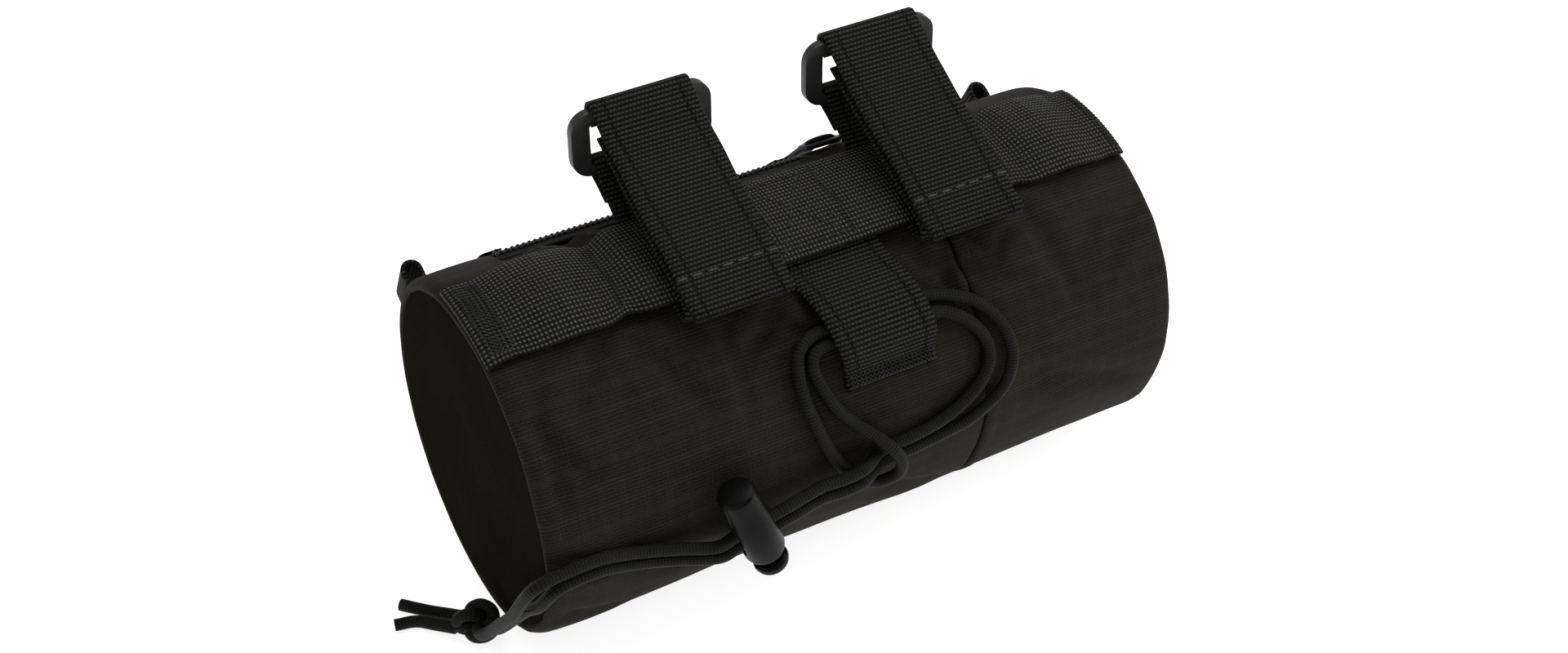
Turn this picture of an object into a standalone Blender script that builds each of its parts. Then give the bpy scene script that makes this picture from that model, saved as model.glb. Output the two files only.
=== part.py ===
"""Barrel-shaped handlebar bag: sewn shell, zip mouth, webbing, strap loops and a shock cord.

Metres, +Z up. The barrel lies along X and rests on z = 0. Angles around the barrel are in
degrees: 0 faces the front (-Y), 90 is the top (+Z) and 180 is the back (+Y).
"""
import math

import bmesh
import bpy
from mathutils import Matrix, Vector

# ---- driving dimensions ----
BARREL_R = 0.044            # outer radius of the fabric barrel
BARREL_LENGTH = 0.170       # over both end panels
FLAT_HALF = 0.010           # half width of the flat the barrel rests on
SEAM_X = 0.030              # place of the seam around the barrel
GAP = 0.0003                # clearance between neighbouring pieces

FABRIC_T = 0.0010
FOAM_T = 0.0025
LINING_T = 0.0006
END_T = 0.0012
END_FOAM_T = 0.0020

WEBBING_W = 0.025
WEBBING_T = 0.0011
DAISY_FROM, DAISY_TO = 65.0, 99.0      # the daisy chain's edges around the barrel
TACK_X = 0.049                         # bar tacks beside the strap channels
CHANNEL_LIFT = 0.0018                  # how far the daisy chain stands off over a strap
STRAP_X = (-0.0275, 0.0340)            # middle of each mounting strap

MOUTH_X = (-0.066, 0.016)              # ends of the zip mouth's moving lip
MOUTH_TOP, MOUTH_HINGE = 111.8, 190.0  # fixed fabric edge above the zip, and the lip's fold
ZIP_MIDDLE = 120.0
TAPE_DEG, COIL_DEG = 5.0, 2.4          # visible tape and half coil, around the barrel

RING_W, RING_H, RING_T = 0.036, 0.017, 0.0024
RING_BAR, RING_END = 0.0028, 0.0047
RING_MID_YZ = (0.0205, 0.0616)         # ring centre: Y, and height above the barrel's axis
NEAR_LINE = ((-0.0205, 0.0455), (0.0170, 0.0643))   # straight near side of a strap, (Y, Z)
STACK = 0.0030                         # strap centre to tail centre, patches between them
PATCH_T, PATCH_W = 0.0005, 0.021

CORD_R = 0.0015
CORD_LAY = BARREL_R + 0.0004 + CORD_R  # cord centre when it lies on the barrel
LOCK_AT = Vector((-0.0365, -0.0494, -0.0047))
LOCK_TILT, STRAND_TILT = 20.0, 12.0
LOCK_R, LOCK_TOP, LOCK_BOTTOM = 0.0050, 0.0155, -0.0075

AXIS_Z = math.sqrt(BARREL_R ** 2 - FLAT_HALF ** 2)
END_X = BARREL_LENGTH / 2
PANEL_X = END_X - END_T - GAP
FOAM_R = BARREL_R - FABRIC_T - GAP
LINING_R = FOAM_R - FOAM_T - GAP
INNER_X = PANEL_X - END_FOAM_T - GAP
GAP_DEG = math.degrees(GAP / BARREL_R)

ON_X = (math.radians(90), 0.0, math.radians(90))   # a flat outline in (Y, Z), extruded along X
ON_Y = (math.radians(90), 0.0, 0.0)                # a flat outline in (X, Z), extruded along Y


# ---- scene ----
def clear_scene():
    """Remove whatever the scene holds."""
    for item in list(bpy.data.objects):
        bpy.data.objects.remove(item, do_unlink=True)


def new_collection(name):
    """Make a collection in the scene."""
    made = bpy.data.collections.new(name)
    bpy.context.scene.collection.children.link(made)
    return made


clear_scene()
BAG = new_collection("handlebar_bag")
CUTTERS = new_collection("cutters")


def finish(name, rgb, roughness, metallic=0.0):
    """Make a plain Principled material."""
    material = bpy.data.materials.new(name)
    material.use_nodes = True
    shader = material.node_tree.nodes["Principled BSDF"]
    shader.inputs["Base Color"].default_value = (*rgb, 1.0)
    shader.inputs["Roughness"].default_value = roughness
    shader.inputs["Metallic"].default_value = metallic
    return material


RIPSTOP = finish("ripstop", (0.020, 0.020, 0.019), 0.8)
END_CLOTH = finish("end_cloth", (0.018, 0.018, 0.017), 0.85)
LINING = finish("lining", (0.10, 0.10, 0.11), 0.7)
FOAM = finish("foam", (0.05, 0.05, 0.05), 0.95)
WEBBING = finish("webbing", (0.028, 0.029, 0.032), 0.75)
HOOK = finish("hook_and_loop", (0.015, 0.015, 0.015), 0.95)
ZIP = finish("zip", (0.012, 0.012, 0.012), 0.5)
METAL = finish("slider_metal", (0.08, 0.08, 0.08), 0.35, 1.0)
PLASTIC = finish("ring_plastic", (0.030, 0.032, 0.035), 0.55)
LOCK_PLASTIC = finish("lock_plastic", (0.012, 0.012, 0.012), 0.3)
CORD = finish("shock_cord", (0.016, 0.016, 0.017), 0.7)
STEEL = finish("spring_steel", (0.5, 0.5, 0.5), 0.3, 1.0)


# ---- shapes ----
def register(item, material, collection=BAG):
    """Put an object in its collection and give it its material."""
    collection.objects.link(item)
    if material is not None:
        item.data.materials.append(material)
    return item


def around(degrees, radius):
    """Point (Y, Z) at an angle around the barrel's axis."""
    turn = math.radians(degrees)
    return (-radius * math.cos(turn), radius * math.sin(turn))


def on_barrel(x, degrees, radius=CORD_LAY):
    """Point at an angle around the barrel, measured from its axis."""
    y, z = around(degrees, radius)
    return Vector((x, y, z))


def arc(start, stop, radius, step=6.0):
    """Points of a layer between two angles."""
    count = max(2, math.ceil(abs(stop - start) / step) + 1)
    return [around(start + (stop - start) * i / (count - 1), radius) for i in range(count)]


def ring_outline(radius, step=6.0):
    """Closed outline of one layer, with the flat the bag rests on."""
    flat_height = AXIS_Z - (BARREL_R - radius)
    flat_deg = math.degrees(math.acos(flat_height / radius))
    return arc(-90.0 + flat_deg, 270.0 - flat_deg, radius, step)


def sector(start, stop, inner, outer, step=6.0):
    """Outline of a piece of wall between two angles and two radii."""
    return arc(start, stop, outer, step) + arc(stop, start, inner, step)


def flat_curve(name, outlines, depth, material, location, rotation=ON_X, collection=BAG):
    """Flat outline, filled and extruded to a depth about its own plane."""
    curve = bpy.data.curves.new(name, "CURVE")
    curve.dimensions = "2D"
    curve.fill_mode = "BOTH"
    curve.extrude = depth / 2
    for outline in outlines:
        spline = curve.splines.new("POLY")
        spline.points.add(len(outline) - 1)
        for point, (u, v) in zip(spline.points, outline):
            point.co = (u, v, 0.0, 1.0)
        spline.use_cyclic_u = True
    item = register(bpy.data.objects.new(name, curve), material, collection)
    item.location = location
    item.rotation_euler = rotation
    return item


def along_x(name, outlines, x_from, x_to, material, collection=BAG):
    """Outline in (Y, Z) about the barrel's axis, extruded between two places along X."""
    location = ((x_from + x_to) / 2, 0.0, AXIS_Z)
    return flat_curve(name, outlines, x_to - x_from, material, location, ON_X, collection)


def as_mesh(item):
    """Turn a curve object into a mesh object with welded caps."""
    bpy.context.view_layer.update()
    depsgraph = bpy.context.evaluated_depsgraph_get()
    mesh = bpy.data.meshes.new_from_object(item.evaluated_get(depsgraph))
    body = bmesh.new()
    body.from_mesh(mesh)
    bmesh.ops.remove_doubles(body, verts=body.verts, dist=0.00001)
    bmesh.ops.recalc_face_normals(body, faces=body.faces)
    body.to_mesh(mesh)
    body.free()
    made = bpy.data.objects.new("mesh_of_" + item.name, mesh)
    name = item.name
    made.matrix_world = item.matrix_world
    for owner in item.users_collection:
        owner.objects.link(made)
    bpy.data.objects.remove(item, do_unlink=True)
    made.name = name
    return made


def cut(item, cutter):
    """Cut one mesh object by another."""
    cutter.hide_render = True
    cutter.display_type = "WIRE"
    boolean = item.modifiers.new("cut", "BOOLEAN")
    boolean.operation = "DIFFERENCE"
    boolean.object = cutter
    return item


def turned(name, profile, material, steps=24):
    """Turn a profile of (radius, height) about Z."""
    mesh = bpy.data.meshes.new(name)
    edges = [(i, i + 1) for i in range(len(profile) - 1)]
    mesh.from_pydata([(radius, 0.0, height) for radius, height in profile], edges, [])
    item = register(bpy.data.objects.new(name, mesh), material)
    screw = item.modifiers.new("turn", "SCREW")
    screw.steps = steps
    screw.render_steps = steps
    screw.use_merge_vertices = True
    screw.merge_threshold = 0.00001
    return item


def ribbon(name, route, width, thickness, material, location, rows=1):
    """Band of webbing: a route in (Y, Z) drawn out along X and thickened about its middle."""
    body = bmesh.new()
    columns = rows + 1
    for y, z in route:
        for column in range(columns):
            body.verts.new((width * (column / rows - 0.5), y, z))
    body.verts.ensure_lookup_table()
    for i in range(len(route) - 1):
        for column in range(rows):
            at = i * columns + column
            corners = (at, at + 1, at + columns + 1, at + columns)
            body.faces.new([body.verts[corner] for corner in corners])
    mesh = bpy.data.meshes.new(name)
    body.to_mesh(mesh)
    body.free()
    item = register(bpy.data.objects.new(name, mesh), material)
    item.location = location
    solidify = item.modifiers.new("thickness", "SOLIDIFY")
    solidify.thickness = thickness
    solidify.offset = 0.0
    solidify.use_even_offset = True
    return item


def smooth(points, spacing):
    """Even points along a smooth curve through a route."""
    route = [Vector(point) for point in points]
    ends = [route[0] * 2 - route[1]] + route + [route[-1] * 2 - route[-2]]
    dense = []
    for a, b, c, d in zip(ends, ends[1:], ends[2:], ends[3:]):
        for i in range(24):
            t = i / 24
            dense.append(0.5 * (2 * b + (c - a) * t + (2 * a - 5 * b + 4 * c - d) * t ** 2
                                + (3 * b - a - 3 * c + d) * t ** 3))
    dense.append(route[-1])
    lengths = [0.0]
    for a, b in zip(dense, dense[1:]):
        lengths.append(lengths[-1] + (b - a).length)
    count = max(2, round(lengths[-1] / spacing))
    made = []
    at = 0
    for i in range(count + 1):
        target = lengths[-1] * i / count
        while at < len(dense) - 2 and lengths[at + 1] < target:
            at += 1
        share = (target - lengths[at]) / max(lengths[at + 1] - lengths[at], 1e-9)
        made.append(dense[at].lerp(dense[at + 1], min(share, 1.0)))
    return made


def tube(name, points, radius, material, resolution=2):
    """Round cord along points measured from the barrel's axis."""
    curve = bpy.data.curves.new(name, "CURVE")
    curve.dimensions = "3D"
    curve.bevel_depth = radius
    curve.bevel_resolution = resolution
    curve.use_fill_caps = True
    spline = curve.splines.new("POLY")
    spline.points.add(len(points) - 1)
    for point, place in zip(spline.points, points):
        point.co = (*place, 1.0)
    item = register(bpy.data.objects.new(name, curve), material)
    item.location = (0.0, 0.0, AXIS_Z)
    return item


def box_cutter(name, size):
    """Box used only to cut."""
    body = bmesh.new()
    bmesh.ops.create_cube(body, size=1.0, matrix=Matrix.Diagonal((*size, 1.0)))
    mesh = bpy.data.meshes.new(name)
    body.to_mesh(mesh)
    body.free()
    return register(bpy.data.objects.new(name, mesh), None, CUTTERS)


# ---- the barrel's wall ----
def mouth_cutter(name, radius):
    """Wedge that clears one layer of the wall for the zip mouth."""
    wedge = sector(MOUTH_TOP, MOUTH_HINGE + GAP_DEG, radius - 0.006, radius + 0.004)
    return as_mesh(along_x(name, [wedge], MOUTH_X[0] - GAP, MOUTH_X[1] + GAP, None, CUTTERS))


def wall(name, radius, thickness, x_from, x_to, material, has_mouth):
    """One layer of the barrel's wall, with the mouth cut where it has one."""
    outlines = [ring_outline(radius), ring_outline(radius - thickness)]
    item = as_mesh(along_x(name, outlines, x_from, x_to, material))
    if has_mouth:
        cut(item, mouth_cutter(name + "_mouth", radius))
    return item


def build_barrel():
    """Two fabric panels, foam, lining, end panels and the bound seams inside."""
    wall("body_panel_left", BARREL_R, FABRIC_T, -PANEL_X, SEAM_X - GAP / 2, RIPSTOP, True)
    wall("body_panel_right", BARREL_R, FABRIC_T, SEAM_X + GAP / 2, PANEL_X, RIPSTOP, False)
    wall("wall_foam", FOAM_R, FOAM_T, -PANEL_X, PANEL_X, FOAM, True)
    wall("wall_lining", LINING_R, LINING_T, -INNER_X, INNER_X, LINING, True)
    end_outline = [ring_outline(BARREL_R)]
    foam_outline = [ring_outline(LINING_R)]
    binding = [ring_outline(LINING_R - LINING_T - GAP), ring_outline(LINING_R - LINING_T - 0.0022)]
    for side, label in ((-1, "left"), (1, "right")):
        near, far = sorted((side * (END_X - END_T), side * END_X))
        along_x("end_panel_" + label, end_outline, near, far, END_CLOTH)
        near, far = sorted((side * (PANEL_X - END_FOAM_T), side * PANEL_X))
        along_x("end_foam_" + label, foam_outline, near, far, FOAM)
        near, far = sorted((side * (INNER_X - 0.007), side * (INNER_X - GAP)))
        along_x("seam_binding_" + label, binding, near, far, LINING)


def build_mouth():
    """The zip's moving lip in its layers, both tapes and both halves of the coil."""
    fixed_coil = ZIP_MIDDLE - GAP_DEG / 2
    lip_coil = ZIP_MIDDLE + GAP_DEG / 2
    fixed_tape = fixed_coil - COIL_DEG - GAP_DEG
    lip_tape = lip_coil + COIL_DEG + GAP_DEG
    lip_edge = lip_tape + TAPE_DEG + GAP_DEG
    layers = (
        ("mouth_lip", lip_edge, BARREL_R, FABRIC_T, RIPSTOP),
        ("mouth_lip_foam", lip_edge, FOAM_R, FOAM_T, FOAM),
        ("mouth_lip_lining", lip_edge, LINING_R, LINING_T, LINING),
        ("zip_tape_lip", lip_tape, BARREL_R - GAP, 0.0007, ZIP),
        ("zip_coil_lip", lip_coil, BARREL_R + 0.0005, 0.0018, ZIP),
    )
    stops = (MOUTH_HINGE, MOUTH_HINGE, MOUTH_HINGE, lip_edge - GAP_DEG, lip_tape - GAP_DEG)
    for (name, start, radius, thickness, material), stop in zip(layers, stops):
        outline = sector(start, stop, radius - thickness, radius)
        along_x(name, [outline], MOUTH_X[0], MOUTH_X[1], material)
    tape = sector(fixed_tape - TAPE_DEG + GAP_DEG, fixed_tape, BARREL_R - 0.001, BARREL_R - GAP)
    coil = sector(fixed_tape + GAP_DEG, fixed_coil, BARREL_R - 0.0013, BARREL_R + 0.0005)
    along_x("zip_tape_fixed", [tape], MOUTH_X[0], MOUTH_X[1], ZIP)
    along_x("zip_coil_fixed", [coil], MOUTH_X[0], MOUTH_X[1], ZIP)


def build_slider():
    """Slider parked past the lip's end, with its puller lying on the barrel behind it."""
    y, z = around(ZIP_MIDDLE, BARREL_R + 0.0005 + GAP)
    slider_x = MOUTH_X[1] + 0.0068
    lean = math.radians(ZIP_MIDDLE - 90.0)
    seat = bpy.data.objects.new("slider_seat", None)
    BAG.objects.link(seat)
    seat.location = (slider_x, y, AXIS_Z + z)
    seat.rotation_euler = (-lean, 0.0, 0.0)
    plate = [(-0.0055, -0.0030), (0.0030, -0.0040), (0.0055, -0.0018),
             (0.0055, 0.0018), (0.0030, 0.0040), (-0.0055, 0.0030)]
    slider = flat_curve("zip_slider", [plate], 0.0016, METAL, (0.0, 0.0, 0.0009), (0.0, 0.0, 0.0))
    slider.parent = seat
    loop = [(-0.0030, -0.0045), (0.0030, -0.0045), (0.0030, -0.0200), (0.0018, -0.0212),
            (-0.0018, -0.0212), (-0.0030, -0.0200)]
    eye = [(-0.0015, -0.0175), (0.0015, -0.0175), (0.0015, -0.0195), (-0.0015, -0.0195)]
    outline = [[(u, -v) for u, v in shape] for shape in (loop, eye)]
    puller = flat_curve("zip_puller", outline, 0.0012, METAL, (0.0, 0.0, 0.0), (0.0, 0.0, 0.0))
    puller.parent = seat
    puller.rotation_euler = (math.radians(-16.0), 0.0, 0.0)
    puller.location = (0.0, 0.0, 0.0022)


# ---- webbing ----
def build_daisy_chain():
    """Daisy chain along the top: tacked down at its ends and beside the strap channels."""
    low = BARREL_R + GAP + 0.0002
    channel = low + CHANNEL_LIFT
    stations = ((-0.0843, low), (-0.0765, low), (-0.069, low + 0.0018), (-0.063, low + 0.0022),
                (-0.057, low + 0.0014), (-TACK_X - 0.003, low), (-TACK_X, low),
                (-0.0445, channel), (-0.030, channel), (-0.011, channel), (0.0, channel),
                (0.012, channel), (0.030, channel), (TACK_X, channel), (0.0525, low),
                (0.056, low), (0.061, low + 0.0018), (0.068, low + 0.0024),
                (0.0745, low + 0.0010), (0.0775, low), (0.0838, low))
    mesh = bpy.data.meshes.new("daisy_chain")
    edges = [(i, i + 1) for i in range(len(stations) - 1)]
    mesh.from_pydata([(x, 0.0, radius) for x, radius in stations], edges, [])
    item = register(bpy.data.objects.new("daisy_chain", mesh), WEBBING)
    item.location = (0.0, 0.0, AXIS_Z)
    item.rotation_euler = (math.radians(90.0 - DAISY_FROM), 0.0, 0.0)
    screw = item.modifiers.new("sweep", "SCREW")
    screw.axis = "X"
    screw.angle = -math.radians(DAISY_TO - DAISY_FROM)
    screw.steps = 7
    screw.render_steps = 7
    screw.use_smooth_shade = False
    solidify = item.modifiers.new("thickness", "SOLIDIFY")
    solidify.thickness = WEBBING_T
    solidify.offset = 1.0
    solidify.use_even_offset = True


def wrap_round(bar, angles, radius=0.0027):
    """Points of webbing wrapped round a ring's bar, in the (Y, Z) plane."""
    return [(bar[0] + radius * math.cos(math.radians(angle)),
             bar[1] + radius * math.sin(math.radians(angle))) for angle in angles]


def strap_route():
    """Middle line of a strap: fold on the ring's lower bar, far side, base and near side."""
    ring_y, ring_z = RING_MID_YZ
    lower = (ring_y, ring_z - RING_H / 2 + RING_BAR / 2)
    fold = wrap_round(lower, range(-50, 190, 24))
    base_r = BARREL_R + GAP + WEBBING_T / 2
    base = [around(degrees, base_r) for degrees in (100, 92, 84, 76, 68, 63)]
    far_side = [(0.0146, 0.0484), (0.0184, 0.0506)] + fold + [(0.0150, 0.0510), (0.0118, 0.0482)]
    near_turn = [(-0.0233, 0.0396), (-0.0250, 0.0414), (-0.0240, 0.0436)]
    return far_side + [(0.0092, 0.0464)] + base + near_turn + list(NEAR_LINE)


def near_point(y):
    """Point at a depth on the straight near side of a strap."""
    (y_low, z_low), (y_high, z_high) = NEAR_LINE
    return (y, z_low + (y - y_low) * (z_high - z_low) / (y_high - y_low))


def offset_line(start, stop, distance):
    """Move a straight line in (Y, Z) sideways, away from the barrel."""
    along = Vector(stop) - Vector(start)
    normal = Vector((-along.y, along.x)).normalized() * distance
    return [tuple(Vector(start) + normal), tuple(Vector(stop) + normal)]


def tail_route():
    """Middle line of a tail: round the ring's upper bar, then down over the strap."""
    ring_y, ring_z = RING_MID_YZ
    upper = (ring_y, ring_z + RING_H / 2 - RING_BAR / 2)
    outer = offset_line(near_point(-0.0280), near_point(0.0120), STACK)
    return wrap_round(upper, range(-95, 116, 21)) + [outer[1], outer[0]]


def build_strap(number, x):
    """One mounting strap: webbing, loop patch, ring, tail and hook patch."""
    at = (x, 0.0, AXIS_Z)
    prefix = "strap_{}_".format(number)
    ribbon(prefix + "webbing", strap_route(), WEBBING_W, WEBBING_T, WEBBING, at)
    ribbon(prefix + "tail", tail_route(), WEBBING_W, WEBBING_T, WEBBING, at)
    near_half = (WEBBING_T + PATCH_T) / 2 + GAP
    loop_line = offset_line(near_point(-0.0160), near_point(0.0100), near_half)
    hook_line = offset_line(near_point(-0.0180), near_point(0.0050), STACK - near_half)
    ribbon(prefix + "loop_patch", loop_line, PATCH_W, PATCH_T, HOOK, at)
    ribbon(prefix + "hook_patch", hook_line, PATCH_W, PATCH_T, HOOK, at)
    outer = rounded_outline(RING_W, RING_H, 0.0045)
    slot = rounded_outline(RING_W - 2 * RING_END, RING_H - 2 * RING_BAR, 0.0012)
    place = (x, RING_MID_YZ[0], AXIS_Z + RING_MID_YZ[1])
    ring = as_mesh(flat_curve(prefix + "ring", [outer, slot], RING_T, PLASTIC, place, ON_Y))
    bevel = ring.modifiers.new("rounding", "BEVEL")
    bevel.width = 0.0007
    bevel.segments = 2
    bevel.angle_limit = math.radians(50)


def rounded_outline(width, height, radius, steps=5):
    """Rectangle with round corners, about its middle."""
    made = []
    for turn, sx, sz in ((0, 1, 1), (90, -1, 1), (180, -1, -1), (270, 1, -1)):
        for i in range(steps + 1):
            angle = math.radians(turn + 90 * i / steps)
            made.append((sx * (width / 2 - radius) + radius * math.cos(angle),
                         sz * (height / 2 - radius) + radius * math.sin(angle)))
    return made


def build_tab():
    """Cord tab: sewn under the daisy chain and again lower down, arched over the cord."""
    flat_r = BARREL_R + GAP + WEBBING_T / 2
    route = ((78, flat_r), (66, flat_r), (60, flat_r + 0.0001), (55, flat_r + 0.0013),
             (51, flat_r + 0.0028), (47, flat_r + 0.0036), (41, flat_r + 0.0039),
             (36, flat_r + 0.0036), (33, flat_r + 0.0026), (30, flat_r + 0.0010),
             (28, flat_r), (24, flat_r))
    points = [around(degrees, radius) for degrees, radius in route]
    ribbon("cord_tab", points, WEBBING_W, WEBBING_T, WEBBING, (0.0015, 0.0, AXIS_Z))


def build_end_loops():
    """Folded webbing loops standing out of both end seams at the back."""
    width, reach, rise = 0.012, 0.0045, 0.0021
    for side, label in ((-1, "left"), (1, "right")):
        fold = [(rise * math.sin(math.radians(a)), reach - rise + rise * math.cos(math.radians(a)))
                for a in (90, 60, 30, 0, -30, -60, -90)]
        route = [(rise, 0.0), (rise, reach * 0.4)] + fold + [(-rise, reach * 0.4), (-rise, 0.0)]
        y, z = around(151.0, BARREL_R + 0.0012)
        item = ribbon("end_loop_" + label, route, width, WEBBING_T, WEBBING, (0.0, 0.0, 0.0))
        outward = Vector((0.0, y, z)).normalized()
        across = Vector((side, 0.0, 0.0))
        tangent = across.cross(outward)
        turn = Matrix((tangent, across, outward)).transposed()
        place = Vector((side * (END_X - 0.0045), y, AXIS_Z + z))
        item.matrix_world = Matrix.Translation(place) @ turn.to_4x4()


# ---- shock cord ----
def tilted_axes(degrees):
    """Directions along and across the strands, turned in the plane of the barrel's front."""
    tilt = math.radians(degrees)
    return (Vector((math.cos(tilt), 0.0, math.sin(tilt))),
            Vector((-math.sin(tilt), 0.0, math.cos(tilt))))


BIGHT_OUTER = [on_barrel(0.0010, 43.6), on_barrel(-0.0060, 43.6), on_barrel(-0.0125, 43.2),
               on_barrel(-0.0172, 40.0), on_barrel(-0.0190, 33.5), on_barrel(-0.0189, 26.0),
               on_barrel(-0.0172, 17.0), on_barrel(-0.0146, 8.0), on_barrel(-0.0113, 0.5),
               on_barrel(-0.0072, -5.8), on_barrel(-0.0024, -9.0, CORD_LAY + 0.0012)]
BIGHT_INNER = [on_barrel(0.0020, -6.2, CORD_LAY + 0.0028), on_barrel(0.0024, -1.5, CORD_LAY + 0.0036),
               on_barrel(0.0004, 3.8, CORD_LAY + 0.0034), on_barrel(-0.0032, 8.6, CORD_LAY + 0.0014),
               on_barrel(-0.0078, 14.5), on_barrel(-0.0120, 21.5), on_barrel(-0.0142, 28.5),
               on_barrel(-0.0151, 34.5), on_barrel(-0.0126, 38.8), on_barrel(-0.0060, 39.2),
               on_barrel(0.0010, 39.2)]
LANE = 0.00175
KNOT_AT = Vector((-0.0922, -0.0130, -0.0382))
KNOT_HALF = Vector((0.0060, 0.0068, 0.0045))


def strand_route(lane):
    """Route of one strand: out of the tab, round, through the bight, lock and down to the knot."""
    if lane < 0:
        start = [on_barrel(0.0016, 43.6), on_barrel(0.0080, 43.6), on_barrel(0.0150, 43.4),
                 on_barrel(0.0225, 41.5), on_barrel(0.0300, 36.0), on_barrel(0.0350, 27.0),
                 on_barrel(0.0362, 17.0), on_barrel(0.0330, 8.0), on_barrel(0.0250, 1.5),
                 on_barrel(0.0160, -1.0), on_barrel(0.0070, -2.2), on_barrel(-0.0010, -2.9)]
    else:
        start = [on_barrel(0.0016, 39.2), on_barrel(0.0080, 39.2), on_barrel(0.0150, 38.8),
                 on_barrel(0.0215, 36.5), on_barrel(0.0270, 31.0), on_barrel(0.0300, 23.5),
                 on_barrel(0.0290, 16.0), on_barrel(0.0240, 9.5), on_barrel(0.0160, 4.6),
                 on_barrel(0.0080, 2.6), on_barrel(-0.0010, 1.6)]
    aim, up = tilted_axes(STRAND_TILT)
    shift = 2.2 * lane
    over = [on_barrel(-0.0075, -0.8 + shift, CORD_LAY + 0.0034),
            on_barrel(-0.0130, -1.6 + shift, CORD_LAY + 0.0035),
            on_barrel(-0.0190, -1.8 + shift, CORD_LAY + 0.0030)]
    through = [LOCK_AT + aim * step + up * LANE * lane for step in (0.0100, 0.0050, 0.0, -0.0050, -0.0100)]
    run = [on_barrel(-0.0550, -6.4 + shift, CORD_LAY + 0.0014), on_barrel(-0.0640, -3.6 + shift),
           on_barrel(-0.0730, -0.6 + shift), on_barrel(-0.0815, 0.0 + shift, CORD_LAY + 0.0004)]
    side = 0.0018 * lane
    drop = [Vector((-0.0872 - side, -0.0462, -0.0012 + side)),
            Vector((-0.0895 - side, -0.0432, -0.0068 + side)),
            Vector((-0.0903 - side, -0.0375, -0.0145)),
            Vector((-0.0908 - side, -0.0310, -0.0225)),
            Vector((-0.0914 - side, -0.0250, -0.0300))]
    return start + over + through + run + drop + [knot_face(side)]


def knot_face(side):
    """Point just off the knot where a strand meets it."""
    return KNOT_AT + Vector((-side * 1.05, -KNOT_HALF.y * 0.86 - 0.0014, 0.0030))


def build_cord():
    """Bight round the tab, both strands, the knot and the two cut ends."""
    bight = smooth(BIGHT_OUTER + BIGHT_INNER, 0.0048)
    tube("cord_bight", bight, CORD_R, CORD)
    for label, lane in (("lower", -1), ("upper", 1)):
        tube("cord_strand_" + label, smooth(strand_route(lane), 0.0058), CORD_R, CORD)
        tube("cord_end_" + label, smooth(end_route(lane), 0.0050), CORD_R, CORD)
    body = bmesh.new()
    bmesh.ops.create_uvsphere(body, u_segments=20, v_segments=12, radius=1.0,
                              matrix=Matrix.Diagonal((*KNOT_HALF, 1.0)))
    mesh = bpy.data.meshes.new("cord_knot")
    body.to_mesh(mesh)
    body.free()
    knot = register(bpy.data.objects.new("cord_knot", mesh), CORD)
    knot.location = KNOT_AT + Vector((0.0, 0.0, AXIS_Z))


def end_route(lane):
    """Route of a cut end, lying on the ground beyond the knot."""
    ground = -AXIS_Z + CORD_R + 0.0001
    side = 0.0019 * lane
    start = KNOT_AT + Vector((-0.0050 + side, 0.0058 + side * 0.5, 0.0))
    return [Vector((start.x - 0.0012, start.y + 0.0012, ground + 0.0005)),
            Vector((start.x - 0.0050, start.y + 0.0052, ground)),
            Vector((start.x - 0.0100, start.y + 0.0085 + side, ground))]


def build_lock():
    """Cord lock: barrel with a cross slot, plunger with its own slot, and a spring."""
    aim, up = tilted_axes(LOCK_TILT)
    seat = bpy.data.objects.new("lock_seat", None)
    BAG.objects.link(seat)
    turn = Matrix((aim, up.cross(aim), up)).transposed()
    seat.matrix_world = Matrix.Translation(LOCK_AT + Vector((0.0, 0.0, AXIS_Z))) @ turn.to_4x4()
    bore_r, bore_top = 0.0034, LOCK_TOP - 0.0018
    barrel = turned("lock_barrel", [
        (0.0, LOCK_TOP), (LOCK_R - 0.0012, LOCK_TOP), (LOCK_R - 0.0004, LOCK_TOP - 0.0004),
        (LOCK_R, LOCK_TOP - 0.0012), (LOCK_R, LOCK_BOTTOM + 0.0004), (LOCK_R - 0.0004, LOCK_BOTTOM),
        (bore_r, LOCK_BOTTOM), (bore_r, bore_top), (0.0, bore_top)], LOCK_PLASTIC)
    plunger = turned("lock_plunger", [
        (0.0, 0.0054), (0.0031, 0.0054), (0.0031, -0.0068), (0.0023, -0.0074), (0.0023, -0.0100),
        (0.0042, -0.0100), (0.0042, -0.0116), (0.0036, -0.0128), (0.0020, -0.0136),
        (0.0, -0.0138)], LOCK_PLASTIC)
    slots = ((barrel, 2 * LANE + 2 * CORD_R + 0.0016, 0.0), (plunger, 0.0098, -0.0011))
    for item, height, middle in slots:
        item.parent = seat
        cutter = box_cutter(item.name + "_slot", (0.03, 0.0036, height))
        cutter.parent = seat
        cutter.location = (0.0, 0.0, middle)
        cut(item, cutter)
    turns, per_turn, wire_r = 4, 10, 0.00025
    coil_low, coil_high = 0.0079, bore_top - 0.0006
    total = turns * per_turn
    points = [Vector((0.0024 * math.cos(math.tau * i / per_turn),
                      0.0024 * math.sin(math.tau * i / per_turn),
                      coil_low + (coil_high - coil_low) * i / total)) for i in range(total + 1)]
    spring = tube("lock_spring", points, wire_r, STEEL, 1)
    spring.location = (0.0, 0.0, 0.0)
    spring.parent = seat


build_barrel()
build_mouth()
build_slider()
build_daisy_chain()
for strap_number, strap_x in enumerate(STRAP_X, start=1):
    build_strap(strap_number, strap_x)
build_tab()
build_end_loops()
build_cord()
build_lock()
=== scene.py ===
import logging
import math
from dataclasses import dataclass
from enum import Enum
from typing import Callable, Sequence

import bmesh
import bpy
import numpy as np
from mathutils import Matrix, Vector, noise


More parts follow.
